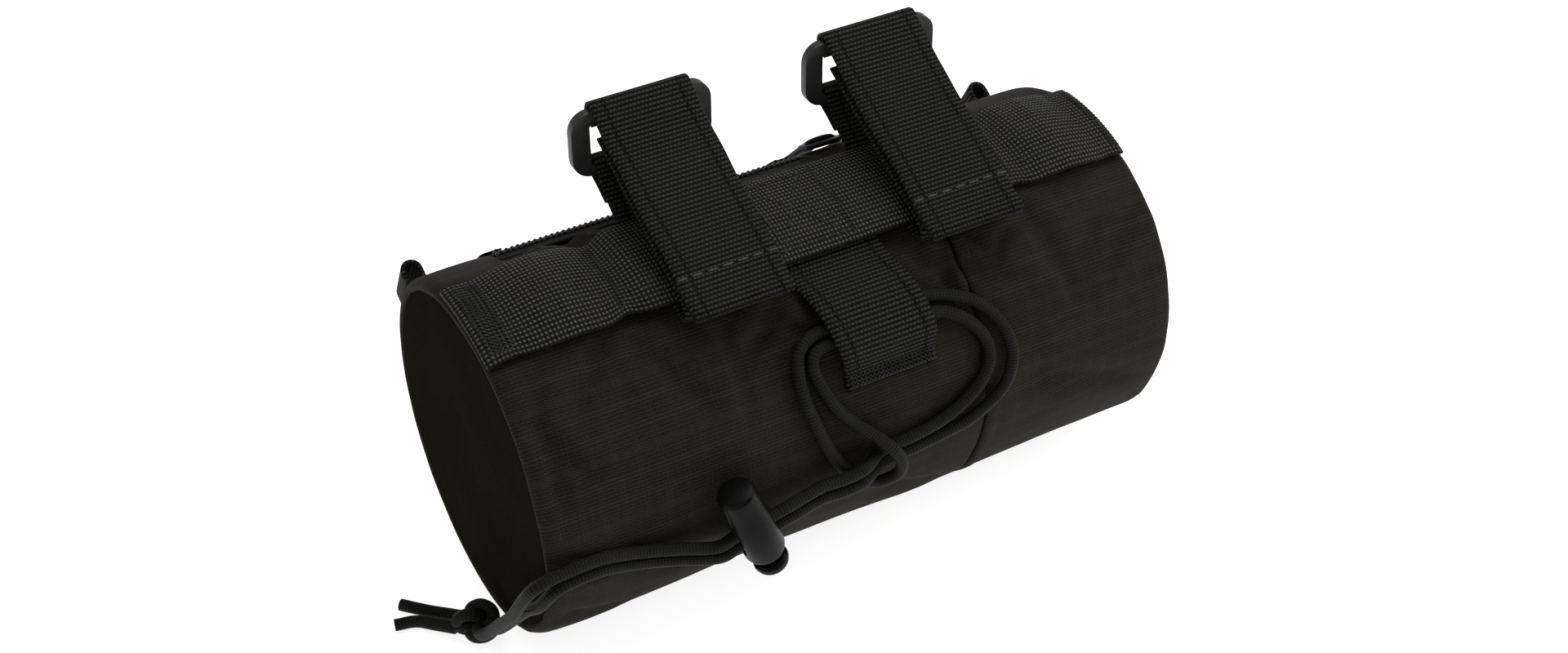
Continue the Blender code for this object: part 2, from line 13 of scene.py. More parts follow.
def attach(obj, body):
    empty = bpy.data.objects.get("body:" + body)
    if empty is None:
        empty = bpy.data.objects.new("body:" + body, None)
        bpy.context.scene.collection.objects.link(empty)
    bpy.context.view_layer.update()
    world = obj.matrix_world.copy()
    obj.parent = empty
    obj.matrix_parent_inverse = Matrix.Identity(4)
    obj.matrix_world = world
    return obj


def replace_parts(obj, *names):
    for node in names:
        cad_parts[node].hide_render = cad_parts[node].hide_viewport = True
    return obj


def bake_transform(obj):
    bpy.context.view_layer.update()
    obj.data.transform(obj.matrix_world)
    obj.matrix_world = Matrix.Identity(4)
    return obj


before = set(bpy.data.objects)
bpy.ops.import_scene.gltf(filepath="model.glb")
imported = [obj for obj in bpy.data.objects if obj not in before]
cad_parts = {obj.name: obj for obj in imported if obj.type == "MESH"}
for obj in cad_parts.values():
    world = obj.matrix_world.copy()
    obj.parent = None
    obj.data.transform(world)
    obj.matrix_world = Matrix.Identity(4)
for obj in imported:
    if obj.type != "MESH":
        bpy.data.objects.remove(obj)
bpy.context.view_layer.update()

LOG = logging.getLogger("handlebar_bag")

Point2 = tuple[float, float]
Colour = tuple[float, float, float]
Item = bpy.types.Object
Material = bpy.types.Material
Mesh = bpy.types.Mesh
Node = bpy.types.Node
Socket = bpy.types.NodeSocket
Tree = bpy.types.NodeTree

# Sizes that several pieces share, in metres; angles around the barrel are in degrees.
BARREL_R = 0.044
FLAT_HALF = 0.010
AXIS_Z = math.sqrt(BARREL_R ** 2 - FLAT_HALF ** 2)
END_X = 0.085
SEAM_X = 0.030
SEAM_ROW = SEAM_X + 0.0042
GAP = 0.0003
WEBBING_W = 0.025
WEBBING_T = 0.0011
STRAP_X = (-0.0275, 0.0340)
MOUTH_X = (-0.066, 0.016)
MOUTH_TOP = 111.8
ZIP_MIDDLE = 120.0
CORD_R = 0.0015
CORD_LAY = BARREL_R + 0.0004 + CORD_R
LOCK_AT = Vector((-0.0365, -0.0494, AXIS_Z - 0.0047))
RIM_REACH = 0.6
SEAM_STITCH = (0.0029, 0.0023, 0.0003, 0.0003)
CREASE_HOLLOW = (0.75, 2.1)
CREASE_SHOULDER = (1.7, 0.7)
WEBBING_GRID = (13, 0.0007)
CORD_SIDES = 14
ROUND_EDGE = 40.0
SOFT_EDGE = 60.0
MOULDED_EDGE = 28.0
SLOT_EDGE = 24.0


# ---------------------------------------------------------------- places and paths
def around(degrees: float, radius: float) -> Point2:
    """Point (Y, Z) at an angle around the barrel, measured from its axis."""
    turn = math.radians(degrees)
    return (-radius * math.cos(turn), radius * math.sin(turn))


def polar(x: float, degrees: float, radius: float = CORD_LAY) -> Vector:
    """Point in the frame at an angle around the barrel."""
    y, z = around(degrees, radius)
    return Vector((x, y, AXIS_Z + z))


def smooth_path(points: Sequence[Vector], spacing: float) -> list[Vector]:
    """Even points along a smooth curve through a route.

    Args:
        points: the route's own points.
        spacing: the distance wanted between neighbours, in metres.

    Returns:
        Points an even distance apart, first and last included.
    """
    route = [Vector(point) for point in points]
    ends = [route[0] * 2 - route[1]] + route + [route[-1] * 2 - route[-2]]
    dense: list[Vector] = []
    for a, b, c, d in zip(ends, ends[1:], ends[2:], ends[3:]):
        for i in range(24):
            t = i / 24
            dense.append(0.5 * (2 * b + (c - a) * t + (2 * a - 5 * b + 4 * c - d) * t ** 2
                                + (3 * b - a - 3 * c + d) * t ** 3))
    dense.append(route[-1])
    return even_steps(dense, spacing)


def even_steps(dense: Sequence[Vector], spacing: float) -> list[Vector]:
    """Points an even distance apart along a polyline.

    Args:
        dense: the polyline.
        spacing: the distance wanted between neighbours, in metres.

    Returns:
        The new points, first and last included.
    """
    lengths = [0.0]
    for a, b in zip(dense, dense[1:]):
        lengths.append(lengths[-1] + (b - a).length)
    count = max(2, round(lengths[-1] / spacing))
    made = []
    at = 0
    for i in range(count + 1):
        target = lengths[-1] * i / count
        while at < len(dense) - 2 and lengths[at + 1] < target:
            at += 1
        share = (target - lengths[at]) / max(lengths[at + 1] - lengths[at], 1e-9)
        made.append(dense[at].lerp(dense[at + 1], min(share, 1.0)))
    return made


def path_length(points: Sequence[Vector]) -> float:
    """Length of a polyline, in metres."""
    return sum((b - a).length for a, b in zip(points, points[1:]))


def gauss(value: float, middle: float, spread: float) -> float:
    """Bell-shaped weight of a value around a middle."""
    return math.exp(-((value - middle) / spread) ** 2)


def step_up(value: float, low: float, high: float) -> float:
    """Smooth step from 0 at low to 1 at high."""
    t = min(1.0, max(0.0, (value - low) / (high - low)))
    return t * t * (3 - 2 * t)


# ---------------------------------------------------------------- mesh making
def linked(name: str, data: bpy.types.ID) -> Item:
    """New object in the scene, at the origin."""
    item = bpy.data.objects.new(name, data)
    bpy.context.scene.collection.objects.link(item)
    return item


def link_mesh(name: str, mesh: Mesh) -> Item:
    """Give a mesh, already in place, a smooth object at the origin."""
    mesh.shade_smooth()
    return linked(name, mesh)


def uv_mesh(name: str, verts: Sequence[Sequence[float]], faces: Sequence[tuple[int, ...]],
            uvs: Sequence[Point2] | np.ndarray) -> Mesh:
    """New mesh with a UV map in metres.

    Args:
        name: the mesh's name.
        verts: its points.
        faces: the points of each face.
        uvs: the map's place at each corner of each face, in order.

    Returns:
        The new mesh.
    """
    mesh = bpy.data.meshes.new(name)
    mesh.from_pydata(verts, [], faces)
    layer = mesh.uv_layers.new(name="UVMap")
    layer.data.foreach_set("uv", np.asarray(uvs, dtype=np.float32).ravel())
    return mesh


def face_out(body: bmesh.types.BMesh) -> None:
    """Turn a closed bmesh's faces outward."""
    bmesh.ops.recalc_face_normals(body, faces=body.faces)
    if body.calc_volume(signed=True) < 0:
        bmesh.ops.reverse_faces(body, faces=body.faces)


def mesh_from_bmesh(name: str, body: bmesh.types.BMesh) -> Item:
    """Turn a finished bmesh into an object, with its faces pointing out."""
    face_out(body)
    mesh = bpy.data.meshes.new(name)
    body.to_mesh(mesh)
    body.free()
    return link_mesh(name, mesh)


def weld(mesh: Mesh, distance: float = 0.0, place: Matrix | None = None) -> None:
    """Merge doubled points, move the mesh into place and turn its faces outward.

    Args:
        mesh: the mesh, changed where it is.
        distance: how near points are when they merge; 0 merges none.
        place: where the mesh goes.
    """
    body = bmesh.new()
    body.from_mesh(mesh)
    if distance:
        bmesh.ops.remove_doubles(body, verts=body.verts, dist=distance)
    if place is not None:
        body.transform(place)
    face_out(body)
    body.to_mesh(mesh)
    body.free()


def smooth_to(item: Item, degrees: float) -> Item:
    """Shade a piece smooth, apart from edges sharper than an angle."""
    item.data.shade_smooth()
    item.data.set_sharp_from_angle(angle=math.radians(degrees))
    return item


def flat_solid(name: str, shapes: Sequence[Sequence[Point2]], half: float,
               bevel: float = 0.0) -> Item:
    """Filled outline with openings, extruded both ways from its own plane.

    Args:
        name: the piece's name.
        shapes: the outline, then its openings.
        half: how far it is extruded each way.
        bevel: radius of the rounding outside that.

    Returns:
        The new object, as a mesh.
    """
    curve = bpy.data.curves.new(name, "CURVE")
    curve.dimensions = "2D"
    curve.fill_mode = "BOTH"
    curve.extrude = half
    curve.bevel_depth = bevel
    curve.bevel_resolution = 3
    for shape in shapes:
        spline = curve.splines.new("POLY")
        spline.points.add(len(shape) - 1)
        for point, at in zip(spline.points, shape):
            point.co = (*at, 0.0, 1.0)
        spline.use_cyclic_u = True
    made = applied(linked(name, curve))
    bpy.data.curves.remove(curve)
    return made


def applied(item: Item) -> Item:
    """Replace an object with live modifiers by the plain mesh they make.

    Args:
        item: the object with modifiers.

    Returns:
        A new object with the same name and no modifiers.
    """
    name = item.name
    graph = bpy.context.evaluated_depsgraph_get()
    mesh = bpy.data.meshes.new_from_object(item.evaluated_get(graph))
    old = item.data
    bpy.data.objects.remove(item)
    if old is not None and old.users == 0 and isinstance(old, Mesh):
        bpy.data.meshes.remove(old)
    mesh.name = name
    return linked(name, mesh)


def thickened(name: str, mesh: Mesh, thickness: float) -> Item:
    """Closed layer made from an open sheet round the barrel.

    Args:
        name: the piece's name.
        mesh: the open sheet, which becomes the outer side.
        thickness: the layer's thickness, towards the axis.

    Returns:
        The new object.
    """
    item = link_mesh(name, mesh)
    if sum(p.normal.dot(Vector((0.0, p.center.y, p.center.z - AXIS_Z))) for p in mesh.polygons) < 0:
        mesh.flip_normals()
    solidify = item.modifiers.new("thickness", "SOLIDIFY")
    solidify.thickness = thickness
    solidify.offset = -1.0
    return applied(item)


def shell(name: str, grid: np.ndarray, uv: np.ndarray, thickness: float) -> Item:
    """Closed piece of cloth or webbing about a middle surface, with rounded edges.

    Args:
        name: the piece's name.
        grid: middle surface, rows x columns x 3, in metres.
        uv: rows x columns x 2, in metres along and across the cloth.
        thickness: the piece's thickness.

    Returns:
        The new object.
    """
    normals = np.cross(np.gradient(grid, axis=0), np.gradient(grid, axis=1))
    normals /= np.maximum(np.linalg.norm(normals, axis=2, keepdims=True), 1e-12)
    rows, columns = grid.shape[:2]
    half = thickness / 2
    out = RIM_REACH * thickness / 2

    def padded_grid(values: np.ndarray, reach: float) -> np.ndarray:
        """Grid with one more row and column on every side, moved out by a distance."""
        big = np.pad(values, ((1, 1), (1, 1), (0, 0)), mode="edge")
        for edge, inner in ((0, 1), (-1, -2)):
            way = values[edge] - values[inner]
            way /= np.maximum(np.linalg.norm(way, axis=1, keepdims=True), 1e-12)
            big[edge, 1:-1] = big[inner, 1:-1] + way * reach
            way = values[:, edge] - values[:, inner]
            way /= np.maximum(np.linalg.norm(way, axis=1, keepdims=True), 1e-12)
            big[1:-1, edge] = big[1:-1, inner] + way * reach
        for i, j in ((0, 0), (0, -1), (-1, 0), (-1, -1)):
            ii, jj = (1 if i == 0 else -2), (1 if j == 0 else -2)
            big[i, j] = 0.5 * (big[i, jj] + big[ii, j])
        return big

    middle = padded_grid(grid, out)
    wide_uv = np.pad(uv, ((1, 1), (1, 1), (0, 0)), mode="edge")
    top = grid + normals * half
    low = grid - normals * half
    count = rows * columns
    ring = [(0, j) for j in range(columns + 2)]
    ring += [(i, columns + 1) for i in range(1, rows + 2)]
    ring += [(rows + 1, j) for j in range(columns, -1, -1)]
    ring += [(i, 0) for i in range(rows, 0, -1)]
    verts = np.concatenate([top.reshape(-1, 3), low.reshape(-1, 3),
                            np.array([middle[i, j] for i, j in ring])])
    uvs = np.concatenate([uv.reshape(-1, 2), uv.reshape(-1, 2),
                          np.array([wide_uv[i, j] for i, j in ring])])
    faces: list[tuple[int, ...]] = []
    for i in range(rows - 1):
        for j in range(columns - 1):
            a = i * columns + j
            quad = (a, a + columns, a + columns + 1, a + 1)
            faces.append(quad)
            faces.append(tuple(count + v for v in reversed(quad)))

    def inner_at(i: int, j: int) -> int:
        """Index in the top grid nearest to a place on the rim."""
        return min(max(i - 1, 0), rows - 1) * columns + min(max(j - 1, 0), columns - 1)

    for k, (i, j) in enumerate(ring):
        following = ring[(k + 1) % len(ring)]
        a, b = 2 * count + k, 2 * count + (k + 1) % len(ring)
        c, d = inner_at(i, j), inner_at(*following)
        if c == d:
            faces.append((a, b, c))
            faces.append((b, a, c + count))
        else:
            faces.append((a, b, d, c))
            faces.append((b, a, c + count, d + count))
    mesh = uv_mesh(name, verts.tolist(), faces, uvs[[v for face in faces for v in face]])
    weld(mesh)
    return link_mesh(name, mesh)


def band(name: str, route: Sequence[Point2], x_middle: float, width: float, thickness: float,
         columns: int = 9, spacing: float = 0.0009,
         shape: Callable[[float, float, Vector], Vector] | None = None) -> Item:
    """Webbing that follows a route in the (Y, Z) plane and is drawn out along X.

    Args:
        name: the piece's name.
        route: (Y, Z) points measured from the barrel's axis.
        x_middle: where the middle of its width lies.
        width: width along X.
        thickness: thickness of the webbing.
        columns: columns of vertices across the width.
        spacing: distance between rows along the route.
        shape: moves a point, given its share across, its distance along and its place.

    Returns:
        The new object.
    """
    points = smooth_path([Vector((0.0, y, AXIS_Z + z)) for y, z in route], spacing)
    step = path_length(points) / (len(points) - 1)
    grid = np.zeros((len(points), columns, 3))
    uv = np.zeros((len(points), columns, 2))
    for i, point in enumerate(points):
        for j in range(columns):
            share = j / (columns - 1)
            place = Vector((x_middle + (share - 0.5) * width, point.y, point.z))
            if shape is not None:
                place = shape(share, i * step, place)
            grid[i, j] = place
            uv[i, j] = ((share - 0.5) * width, i * step)
    return shell(name, grid, uv, thickness)


def tube(name: str, points: Sequence[Vector], radius: float | Callable[[float], float],
         sides: int = 12, closed: bool = False) -> Item:
    """Round cord along points, with its own UV map in metres.

    Args:
        name: the piece's name.
        points: centre line, in the frame.
        radius: the cord's radius, or a function of the distance along it.
        sides: faces around.
        closed: whether the last point joins the first.

    Returns:
        The new object.
    """
    count = len(points)
    verts, uvs = [], []
    side: Vector | None = None
    travelled = 0.0
    for i, point in enumerate(points):
        before = points[i - 1] if (i > 0 or closed) else point
        after = points[(i + 1) % count] if (i < count - 1 or closed) else point
        along = (after - before).normalized()
        if side is None:
            side = along.orthogonal().normalized()
        side = (side - along * side.dot(along)).normalized()
        up = along.cross(side)
        size = radius(travelled) if callable(radius) else radius
        for k in range(sides):
            turn = math.tau * k / sides
            verts.append(point + (side * math.cos(turn) + up * math.sin(turn)) * size)
            uvs.append((travelled, k / sides))
        if i < count - 1:
            travelled += (points[i + 1] - point).length
    faces, face_uvs = [], []
    for i in range(count if closed else count - 1):
        for k in range(sides):
            a, b = i * sides + k, i * sides + (k + 1) % sides
            c, d = (b + sides) % (count * sides), (a + sides) % (count * sides)
            faces.append((a, b, c, d))
            low, high = uvs[a][1], uvs[a][1] + 1 / sides
            end = uvs[d][0] if d > a else travelled
            face_uvs += [(uvs[a][0], low), (uvs[a][0], high), (end, high), (end, low)]
    if not closed:
        for first, order in ((0, -1), ((count - 1) * sides, 1)):
            loop = [first + k for k in range(sides)][::order]
            faces.append(tuple(loop))
            face_uvs += [uvs[v] for v in loop]
    mesh = uv_mesh(name, [tuple(v) for v in verts], faces, face_uvs)
    weld(mesh)
    return link_mesh(name, mesh)


def lathe(name: str, profile: Sequence[Point2], steps: int, place: Matrix,
          smooth_angle: float) -> Item:
    """Turned piece about its own Z axis, put in place in its mesh.

    Args:
        name: the piece's name.
        profile: (radius, height) points; ends at radius 0 close the piece.
        steps: faces around.
        place: where the turned piece goes.
        smooth_angle: edges sharper than this stay sharp.

    Returns:
        The new object.
    """
    body = bmesh.new()
    line = [body.verts.new((r, 0.0, z)) for r, z in profile]
    edges = [body.edges.new(pair) for pair in zip(line, line[1:])]
    bmesh.ops.spin(body, geom=line + edges, cent=(0, 0, 0), axis=(0, 0, 1),
                   angle=math.tau, steps=steps, use_merge=True)
    bmesh.ops.remove_doubles(body, verts=body.verts, dist=1e-6)
    body.transform(place)
    return smooth_to(mesh_from_bmesh(name, body), smooth_angle)


def plate(name: str, outline: Sequence[Point2], holes: Sequence[Sequence[Point2]],
          thickness: float, bevel: float, place: Matrix) -> Item:
    """Flat moulded or stamped piece with rounded edges, put in place in its mesh.

    Args:
        name: the piece's name.
        outline: outer outline in its own (X, Y).
        holes: outlines of its openings.
        thickness: thickness along its own Z.
        bevel: radius of the edge rounding.
        place: where the piece goes.

    Returns:
        The new object.
    """
    shapes = []
    for number, shape in enumerate((outline, *holes)):
        middle = Vector((sum(p[0] for p in shape), sum(p[1] for p in shape))) / len(shape)
        way = -bevel if number else bevel
        shapes.append([tuple(Vector(at) + (middle - Vector(at)).normalized() * way) for at in shape])
    made = flat_solid(name, shapes, thickness / 2 - bevel, bevel)
    weld(made.data, 2e-6, place)
    return smooth_to(made, ROUND_EDGE)


def rounded(width: float, height: float, radius: float, steps: int = 8) -> list[Point2]:
    """Rectangle with round corners, about its middle."""
    made = []
    for turn, sx, sy in ((0, 1, 1), (90, -1, 1), (180, -1, -1), (270, 1, -1)):
        for i in range(steps + 1):
            angle = math.radians(turn + 90 * i / steps)
            made.append((sx * (width / 2 - radius) + radius * math.cos(angle),
                         sy * (height / 2 - radius) + radius * math.sin(angle)))
    return made


# ---------------------------------------------------------------- finishes
class Weave(Enum):
    """How a cloth's threads cross."""

    TWILL = "twill"
    RIPSTOP = "ripstop"
    RIBBED = "ribbed"
    BASKET = "basket"
    BRAID = "braid"
    PLAIN = "plain"
    FUZZ = "fuzz"


class Graph:
    """Small helper that adds shader nodes and joins them."""

    def __init__(self, material: Material) -> None:
        """Start from an empty node tree."""
        material.use_nodes = True
        self.tree = material.node_tree
        self.tree.nodes.clear()

    def node(self, kind: str, **values: object) -> Node:
        """Add a node and set its properties."""
        made = self.tree.nodes.new(kind)
        for key, value in values.items():
            setattr(made, key, value)
        return made

    def link(self, source: Socket, target: Socket) -> None:
        """Join two sockets."""
        self.tree.links.new(source, target)

    def math(self, operation: str, *inputs: object, clamp: bool = False) -> Socket:
        """Math node on sockets or plain numbers.

        Args:
            operation: Blender's name for the operation.
            inputs: sockets or numbers, in order.
            clamp: whether the result stays within 0 and 1.

        Returns:
            The node's output socket.
        """
        made = self.node("ShaderNodeMath", operation=operation, use_clamp=clamp)
        for slot, value in zip(made.inputs, inputs):
            if isinstance(value, Socket):
                self.link(value, slot)
            else:
                slot.default_value = value
        return made.outputs[0]

    def wave(self, value: Socket, pitch: float, phase: float = 0.0) -> Socket:
        """Cosine wave of a length, from -1 to 1, once per pitch."""
        turned = self.math("MULTIPLY_ADD", value, math.tau / pitch, phase)
        return self.math("COSINE", turned)

    def line(self, value: Socket, pitch: float, width: float) -> Socket:
        """Thin line, 1 on the line and 0 off it, once per pitch."""
        share = self.math("FRACT", self.math("MULTIPLY", value, 1.0 / pitch))
        away = self.math("ABSOLUTE", self.math("SUBTRACT", share, 0.5))
        return self.math("SUBTRACT", 1.0, self.math("MULTIPLY", away, pitch / width), clamp=True)

    def noise(self, vector: Socket, scale: float, detail: float = 2.0,
              rough: float = 0.5) -> Socket:
        """Noise texture's value, about 0.5."""
        made = self.node("ShaderNodeTexNoise")
        made.inputs["Scale"].default_value = scale
        made.inputs["Detail"].default_value = detail
        made.inputs["Roughness"].default_value = rough
        self.link(vector, made.inputs["Vector"])
        return made.outputs[0]

    def mix(self, share: Socket, first: Colour, second: Colour) -> Socket:
        """Colour between two colours."""
        made = self.node("ShaderNodeMix", data_type="RGBA")
        self.link(share, made.inputs["Factor"])
        made.inputs["A"].default_value = (*first, 1.0)
        made.inputs["B"].default_value = (*second, 1.0)
        return made.outputs["Result"]

    def bump(self, height: Socket, distance: float, strength: float = 1.0,
             under: Socket | None = None) -> Socket:
        """Bump node's normal."""
        made = self.node("ShaderNodeBump")
        made.inputs["Strength"].default_value = strength
        made.inputs["Distance"].default_value = distance
        self.link(height, made.inputs["Height"])
        if under is not None:
            self.link(under, made.inputs["Normal"])
        return made.outputs[0]


@dataclass(frozen=True)
class Finish:
    """Base of every finish: its name, colours and plain surface values."""

    name: str
    light: Colour
    dark: Colour
    roughness: float
    slot: str
    specular: float = 0.5
    sheen: float = 0.0
    metallic: float = 0.0

    def surface(self, graph: Graph) -> Node:
        """Shader node with the uniform values set on its own sockets."""
        shader = graph.node("ShaderNodeBsdfPrincipled")
        shader.inputs["Roughness"].default_value = self.roughness
        shader.inputs["Specular IOR Level"].default_value = self.specular
        shader.inputs["Metallic"].default_value = self.metallic
        if self.sheen:
            shader.inputs["Sheen Weight"].default_value = self.sheen
            shader.inputs["Sheen Roughness"].default_value = 0.5
        output = graph.node("ShaderNodeOutputMaterial")
        graph.link(shader.outputs[0], output.inputs["Surface"])
        return shader

    def pattern(self, graph: Graph, shader: Node) -> None:
        """Join colour and bump to the shader; each kind of finish has its own."""
        raise NotImplementedError

    def material(self) -> Material:
        """The finish's material, made once.

        Returns:
            The material, shared by all pieces with this finish.
        """
        known = bpy.data.materials.get(self.name)
        if known is not None:
            return known
        made = bpy.data.materials.new(self.name)
        graph = Graph(made)
        self.pattern(graph, self.surface(graph))
        made.diffuse_color = (*self.light, 1.0)
        return made

    def dress(self, item: Item) -> Item:
        """Give a piece this finish."""
        item.data.materials.clear()
        item.data.materials.append(self.material())
        return item


@dataclass(frozen=True)
class Cloth(Finish):
    """Woven finish that follows the piece's own UV map, in metres."""

    weave: Weave = Weave.PLAIN
    pitch: float = 0.0006
    depth: float = 0.00012
    # How strongly thread height sets the colour: painted light on the thread tops, painted shade in the
    # grooves.
    thread_shade: float = 0.85
    wander: float = 0.5
    speckle: float = 0.5

    def pattern(self, graph: Graph, shader: Node) -> None:
        """Threads as bump and as painted light and shade in the colour (lighter where the bump rises, darker
        in its hollows), over broad soft variation that is partly random tone and partly painted light on the
        soft relief.

        Args:
            graph: the material's graph.
            shader: its shader node.
        """
        uv = graph.node("ShaderNodeUVMap", uv_map="UVMap").outputs[0]
        parts = graph.node("ShaderNodeSeparateXYZ")
        graph.link(uv, parts.inputs[0])
        u, v = parts.outputs[0], parts.outputs[1]
        height = self.threads(graph, u, v)
        placed = graph.node("ShaderNodeTexCoord").outputs["Object"]
        broad = graph.noise(placed, 45.0, 3.0, 0.55)
        fine = graph.noise(placed, 2600.0, 1.0, 0.5)
        lifted = graph.math("MULTIPLY_ADD", graph.math("SUBTRACT", fine, 0.5), 0.35, height)
        # Painted light and shade: the colour rises with the same heights as the bump, so raised threads,
        # grain and soft relief are lighter and low parts darker; the broad and fine noise also add random
        # tone.
        tone_and_relief_shade = graph.math("MULTIPLY_ADD", broad, self.wander, -0.36 * self.wander - 0.5 * self.speckle)
        tone_and_relief_shade = graph.math("MULTIPLY_ADD", fine, self.speckle, tone_and_relief_shade)
        share = graph.math("MULTIPLY_ADD", height, self.thread_shade, tone_and_relief_shade, clamp=True)
        graph.link(graph.mix(share, self.dark, self.light), shader.inputs["Base Color"])
        soft = graph.bump(broad, 0.0008, 0.35)
        graph.link(graph.bump(lifted, self.depth, 1.0, soft), shader.inputs["Normal"])

    def threads(self, graph: Graph, u: Socket, v: Socket) -> Socket:
        """Height of the threads from 0 to 1, which also sets their painted light and shade in the colour.

        Args:
            graph: the material's graph.
            u: metres along the first direction of the cloth.
            v: metres along the second.

        Returns:
            The height's socket.
        """
        p = self.pitch
        if self.weave is Weave.RIBBED:
            rib = graph.math("ABSOLUTE", graph.wave(v, 2 * p))
            count = graph.math("FLOOR", graph.math("MULTIPLY_ADD", v, 1.0 / p, 0.5))
            row = graph.math("MULTIPLY", count, math.pi)
            turn = graph.math("ADD", graph.math("MULTIPLY", u, math.tau / (p * 0.9)), row)
            yarn = graph.math("COSINE", turn)
            # A groove 3 mm inside each edge lowers the height, so it is also painted shade in the colour.
            selvedge = graph.math("ABSOLUTE", u)
            inset = graph.math("SUBTRACT", selvedge, WEBBING_W * 0.5 - 0.0030)
            away = graph.math("MULTIPLY", graph.math("ABSOLUTE", inset), 1400.0)
            groove = graph.math("SUBTRACT", 1.0, away, clamp=True)
            full = graph.math("MULTIPLY_ADD", rib, 1.9, -0.85, clamp=True)
            body = graph.math("MULTIPLY", full, graph.math("MULTIPLY_ADD", yarn, 0.30, 0.68))
            return graph.math("MULTIPLY_ADD", groove, -0.45, body, clamp=True)
        if self.weave is Weave.BASKET:
            across = graph.math("ABSOLUTE", graph.wave(v, 2 * p, math.pi / 2))
            along = graph.wave(u, p * 1.12)
            dots = graph.math("MULTIPLY", across, graph.math("MULTIPLY_ADD", along, 0.46, 0.54), clamp=True)
            return graph.math("POWER", dots, 1.7)
        if self.weave is Weave.BRAID:
            turn = graph.math("MULTIPLY", v, math.tau * 8)
            run = graph.math("MULTIPLY", u, math.tau / p)
            first = graph.math("COSINE", graph.math("ADD", run, turn))
            second = graph.math("COSINE", graph.math("SUBTRACT", run, turn))
            return graph.math("MULTIPLY_ADD", graph.math("MULTIPLY", first, second), 0.5, 0.5, clamp=True)
        if self.weave is Weave.FUZZ:
            placed = graph.node("ShaderNodeTexCoord").outputs["Object"]
            return graph.noise(placed, 1900.0, 4.0, 0.8)
        if self.weave is Weave.TWILL:
            slant = graph.wave(graph.math("ADD", u, v), p)
            return graph.math("MULTIPLY_ADD", slant, 0.30, 0.45, clamp=True)
        plain = graph.math("MULTIPLY", graph.wave(u, p), graph.wave(v, p))
        base = graph.math("MULTIPLY_ADD", plain, 0.25, 0.4)
        if self.weave is Weave.RIPSTOP:
            slant = graph.wave(graph.math("ADD", graph.math("MULTIPLY", u, 0.6), v), p * 1.3)
            base = graph.math("MULTIPLY_ADD", slant, 0.12, base)
            base = graph.math("MULTIPLY_ADD", graph.wave(v, 0.00092), 0.12, base)
            for value, pitch in ((v, 0.0052), (u, 0.0052)):
                for offset in (-0.00042, 0.00042):
                    cord = graph.line(graph.math("ADD", value, offset), pitch, 0.00022)
                    strength = 0.28 if value is v else 0.14
                    base = graph.math("MULTIPLY_ADD", cord, strength, base)
        return graph.math("ADD", base, 0.0, clamp=True)


@dataclass(frozen=True)
class Moulded(Finish):
    """Moulded plastic or painted metal with a fine grain, and colour and gloss that vary a little."""

    grain: float = 900.0
    depth: float = 0.00005

    def pattern(self, graph: Graph, shader: Node) -> None:
        """Grain as bump, with colour and gloss that vary a little.

        Args:
            graph: the material's graph.
            shader: its shader node.
        """
        placed = graph.node("ShaderNodeTexCoord").outputs["Object"]
        fine = graph.noise(placed, self.grain, 3.0, 0.6)
        broad = graph.noise(placed, 120.0, 2.0, 0.5)
        graph.link(graph.mix(broad, self.dark, self.light), shader.inputs["Base Color"])
        gloss = graph.math("MULTIPLY_ADD", fine, 0.22, self.roughness - 0.11, clamp=True)
        graph.link(gloss, shader.inputs["Roughness"])
        graph.link(graph.bump(fine, self.depth), shader.inputs["Normal"])


# Cloth colours: thread height mixes light and dark, so the light colour paints light on the high threads and
# the dark colour paints shade in the low ones.
RIPSTOP = Cloth("ripstop_cloth", (0.0365, 0.0335, 0.0262), (0.0024, 0.0022, 0.0018), 0.75, "ripstop",
                0.04, weave=Weave.RIPSTOP, pitch=0.00052, depth=0.00016)
# The end twill is darker than the body's ripstop: partly its own cloth, partly painted shade of the end
# turned away from the light.
PLAIN_END = Cloth("end_panel_twill", (0.0185, 0.0170, 0.0132), (0.0040, 0.0036, 0.0029), 0.9, "end_cloth",
                  0.0, weave=Weave.TWILL, pitch=0.00055, depth=0.00012)
BINDING = Cloth("binding_cloth", (0.0060, 0.0056, 0.0048), (0.0025, 0.0023, 0.0020), 0.9, "end_cloth",
                0.0, weave=Weave.TWILL, pitch=0.0007, depth=0.00010)
# Ribbed webbing: the light colour paints light on the raised ribs, and the near-black dark colour paints
# shade in the grooves.
RIBBED = Cloth("ribbed_webbing", (0.0460, 0.0445, 0.0405), (0.0009, 0.0009, 0.0008), 0.62, "webbing",
               0.05, weave=Weave.RIBBED, pitch=0.00112, depth=0.00050, thread_shade=1.05, wander=0.15,
               speckle=0.3)
# Basket webbing: the bright light colour paints highlights on the yarn dots, and the near-black dark colour
# paints shade in the gaps.
BASKET = Cloth("basket_webbing", (0.1150, 0.1110, 0.1040), (0.0010, 0.0010, 0.0009), 0.62, "webbing",
               0.06, weave=Weave.BASKET, pitch=0.00098, depth=0.00045, thread_shade=1.1, wander=0.15, speckle=0.3)
FUZZ = Cloth("hook_and_loop_pile", (0.0110, 0.0105, 0.0095), (0.0020, 0.0020, 0.0018), 0.95, "hook_and_loop",
             0.0, weave=Weave.FUZZ, depth=0.00035)
SHEATH = Cloth("cord_sheath", (0.0170, 0.0162, 0.0145), (0.0010, 0.0009, 0.0008), 0.56, "shock_cord",
               0.08, weave=Weave.BRAID, pitch=0.0016, depth=0.00018)
LINING = Cloth("lining_cloth", (0.135, 0.135, 0.145), (0.085, 0.085, 0.095), 0.75, "lining",
               0.3, 0.08, weave=Weave.PLAIN, pitch=0.0007, depth=0.00006)
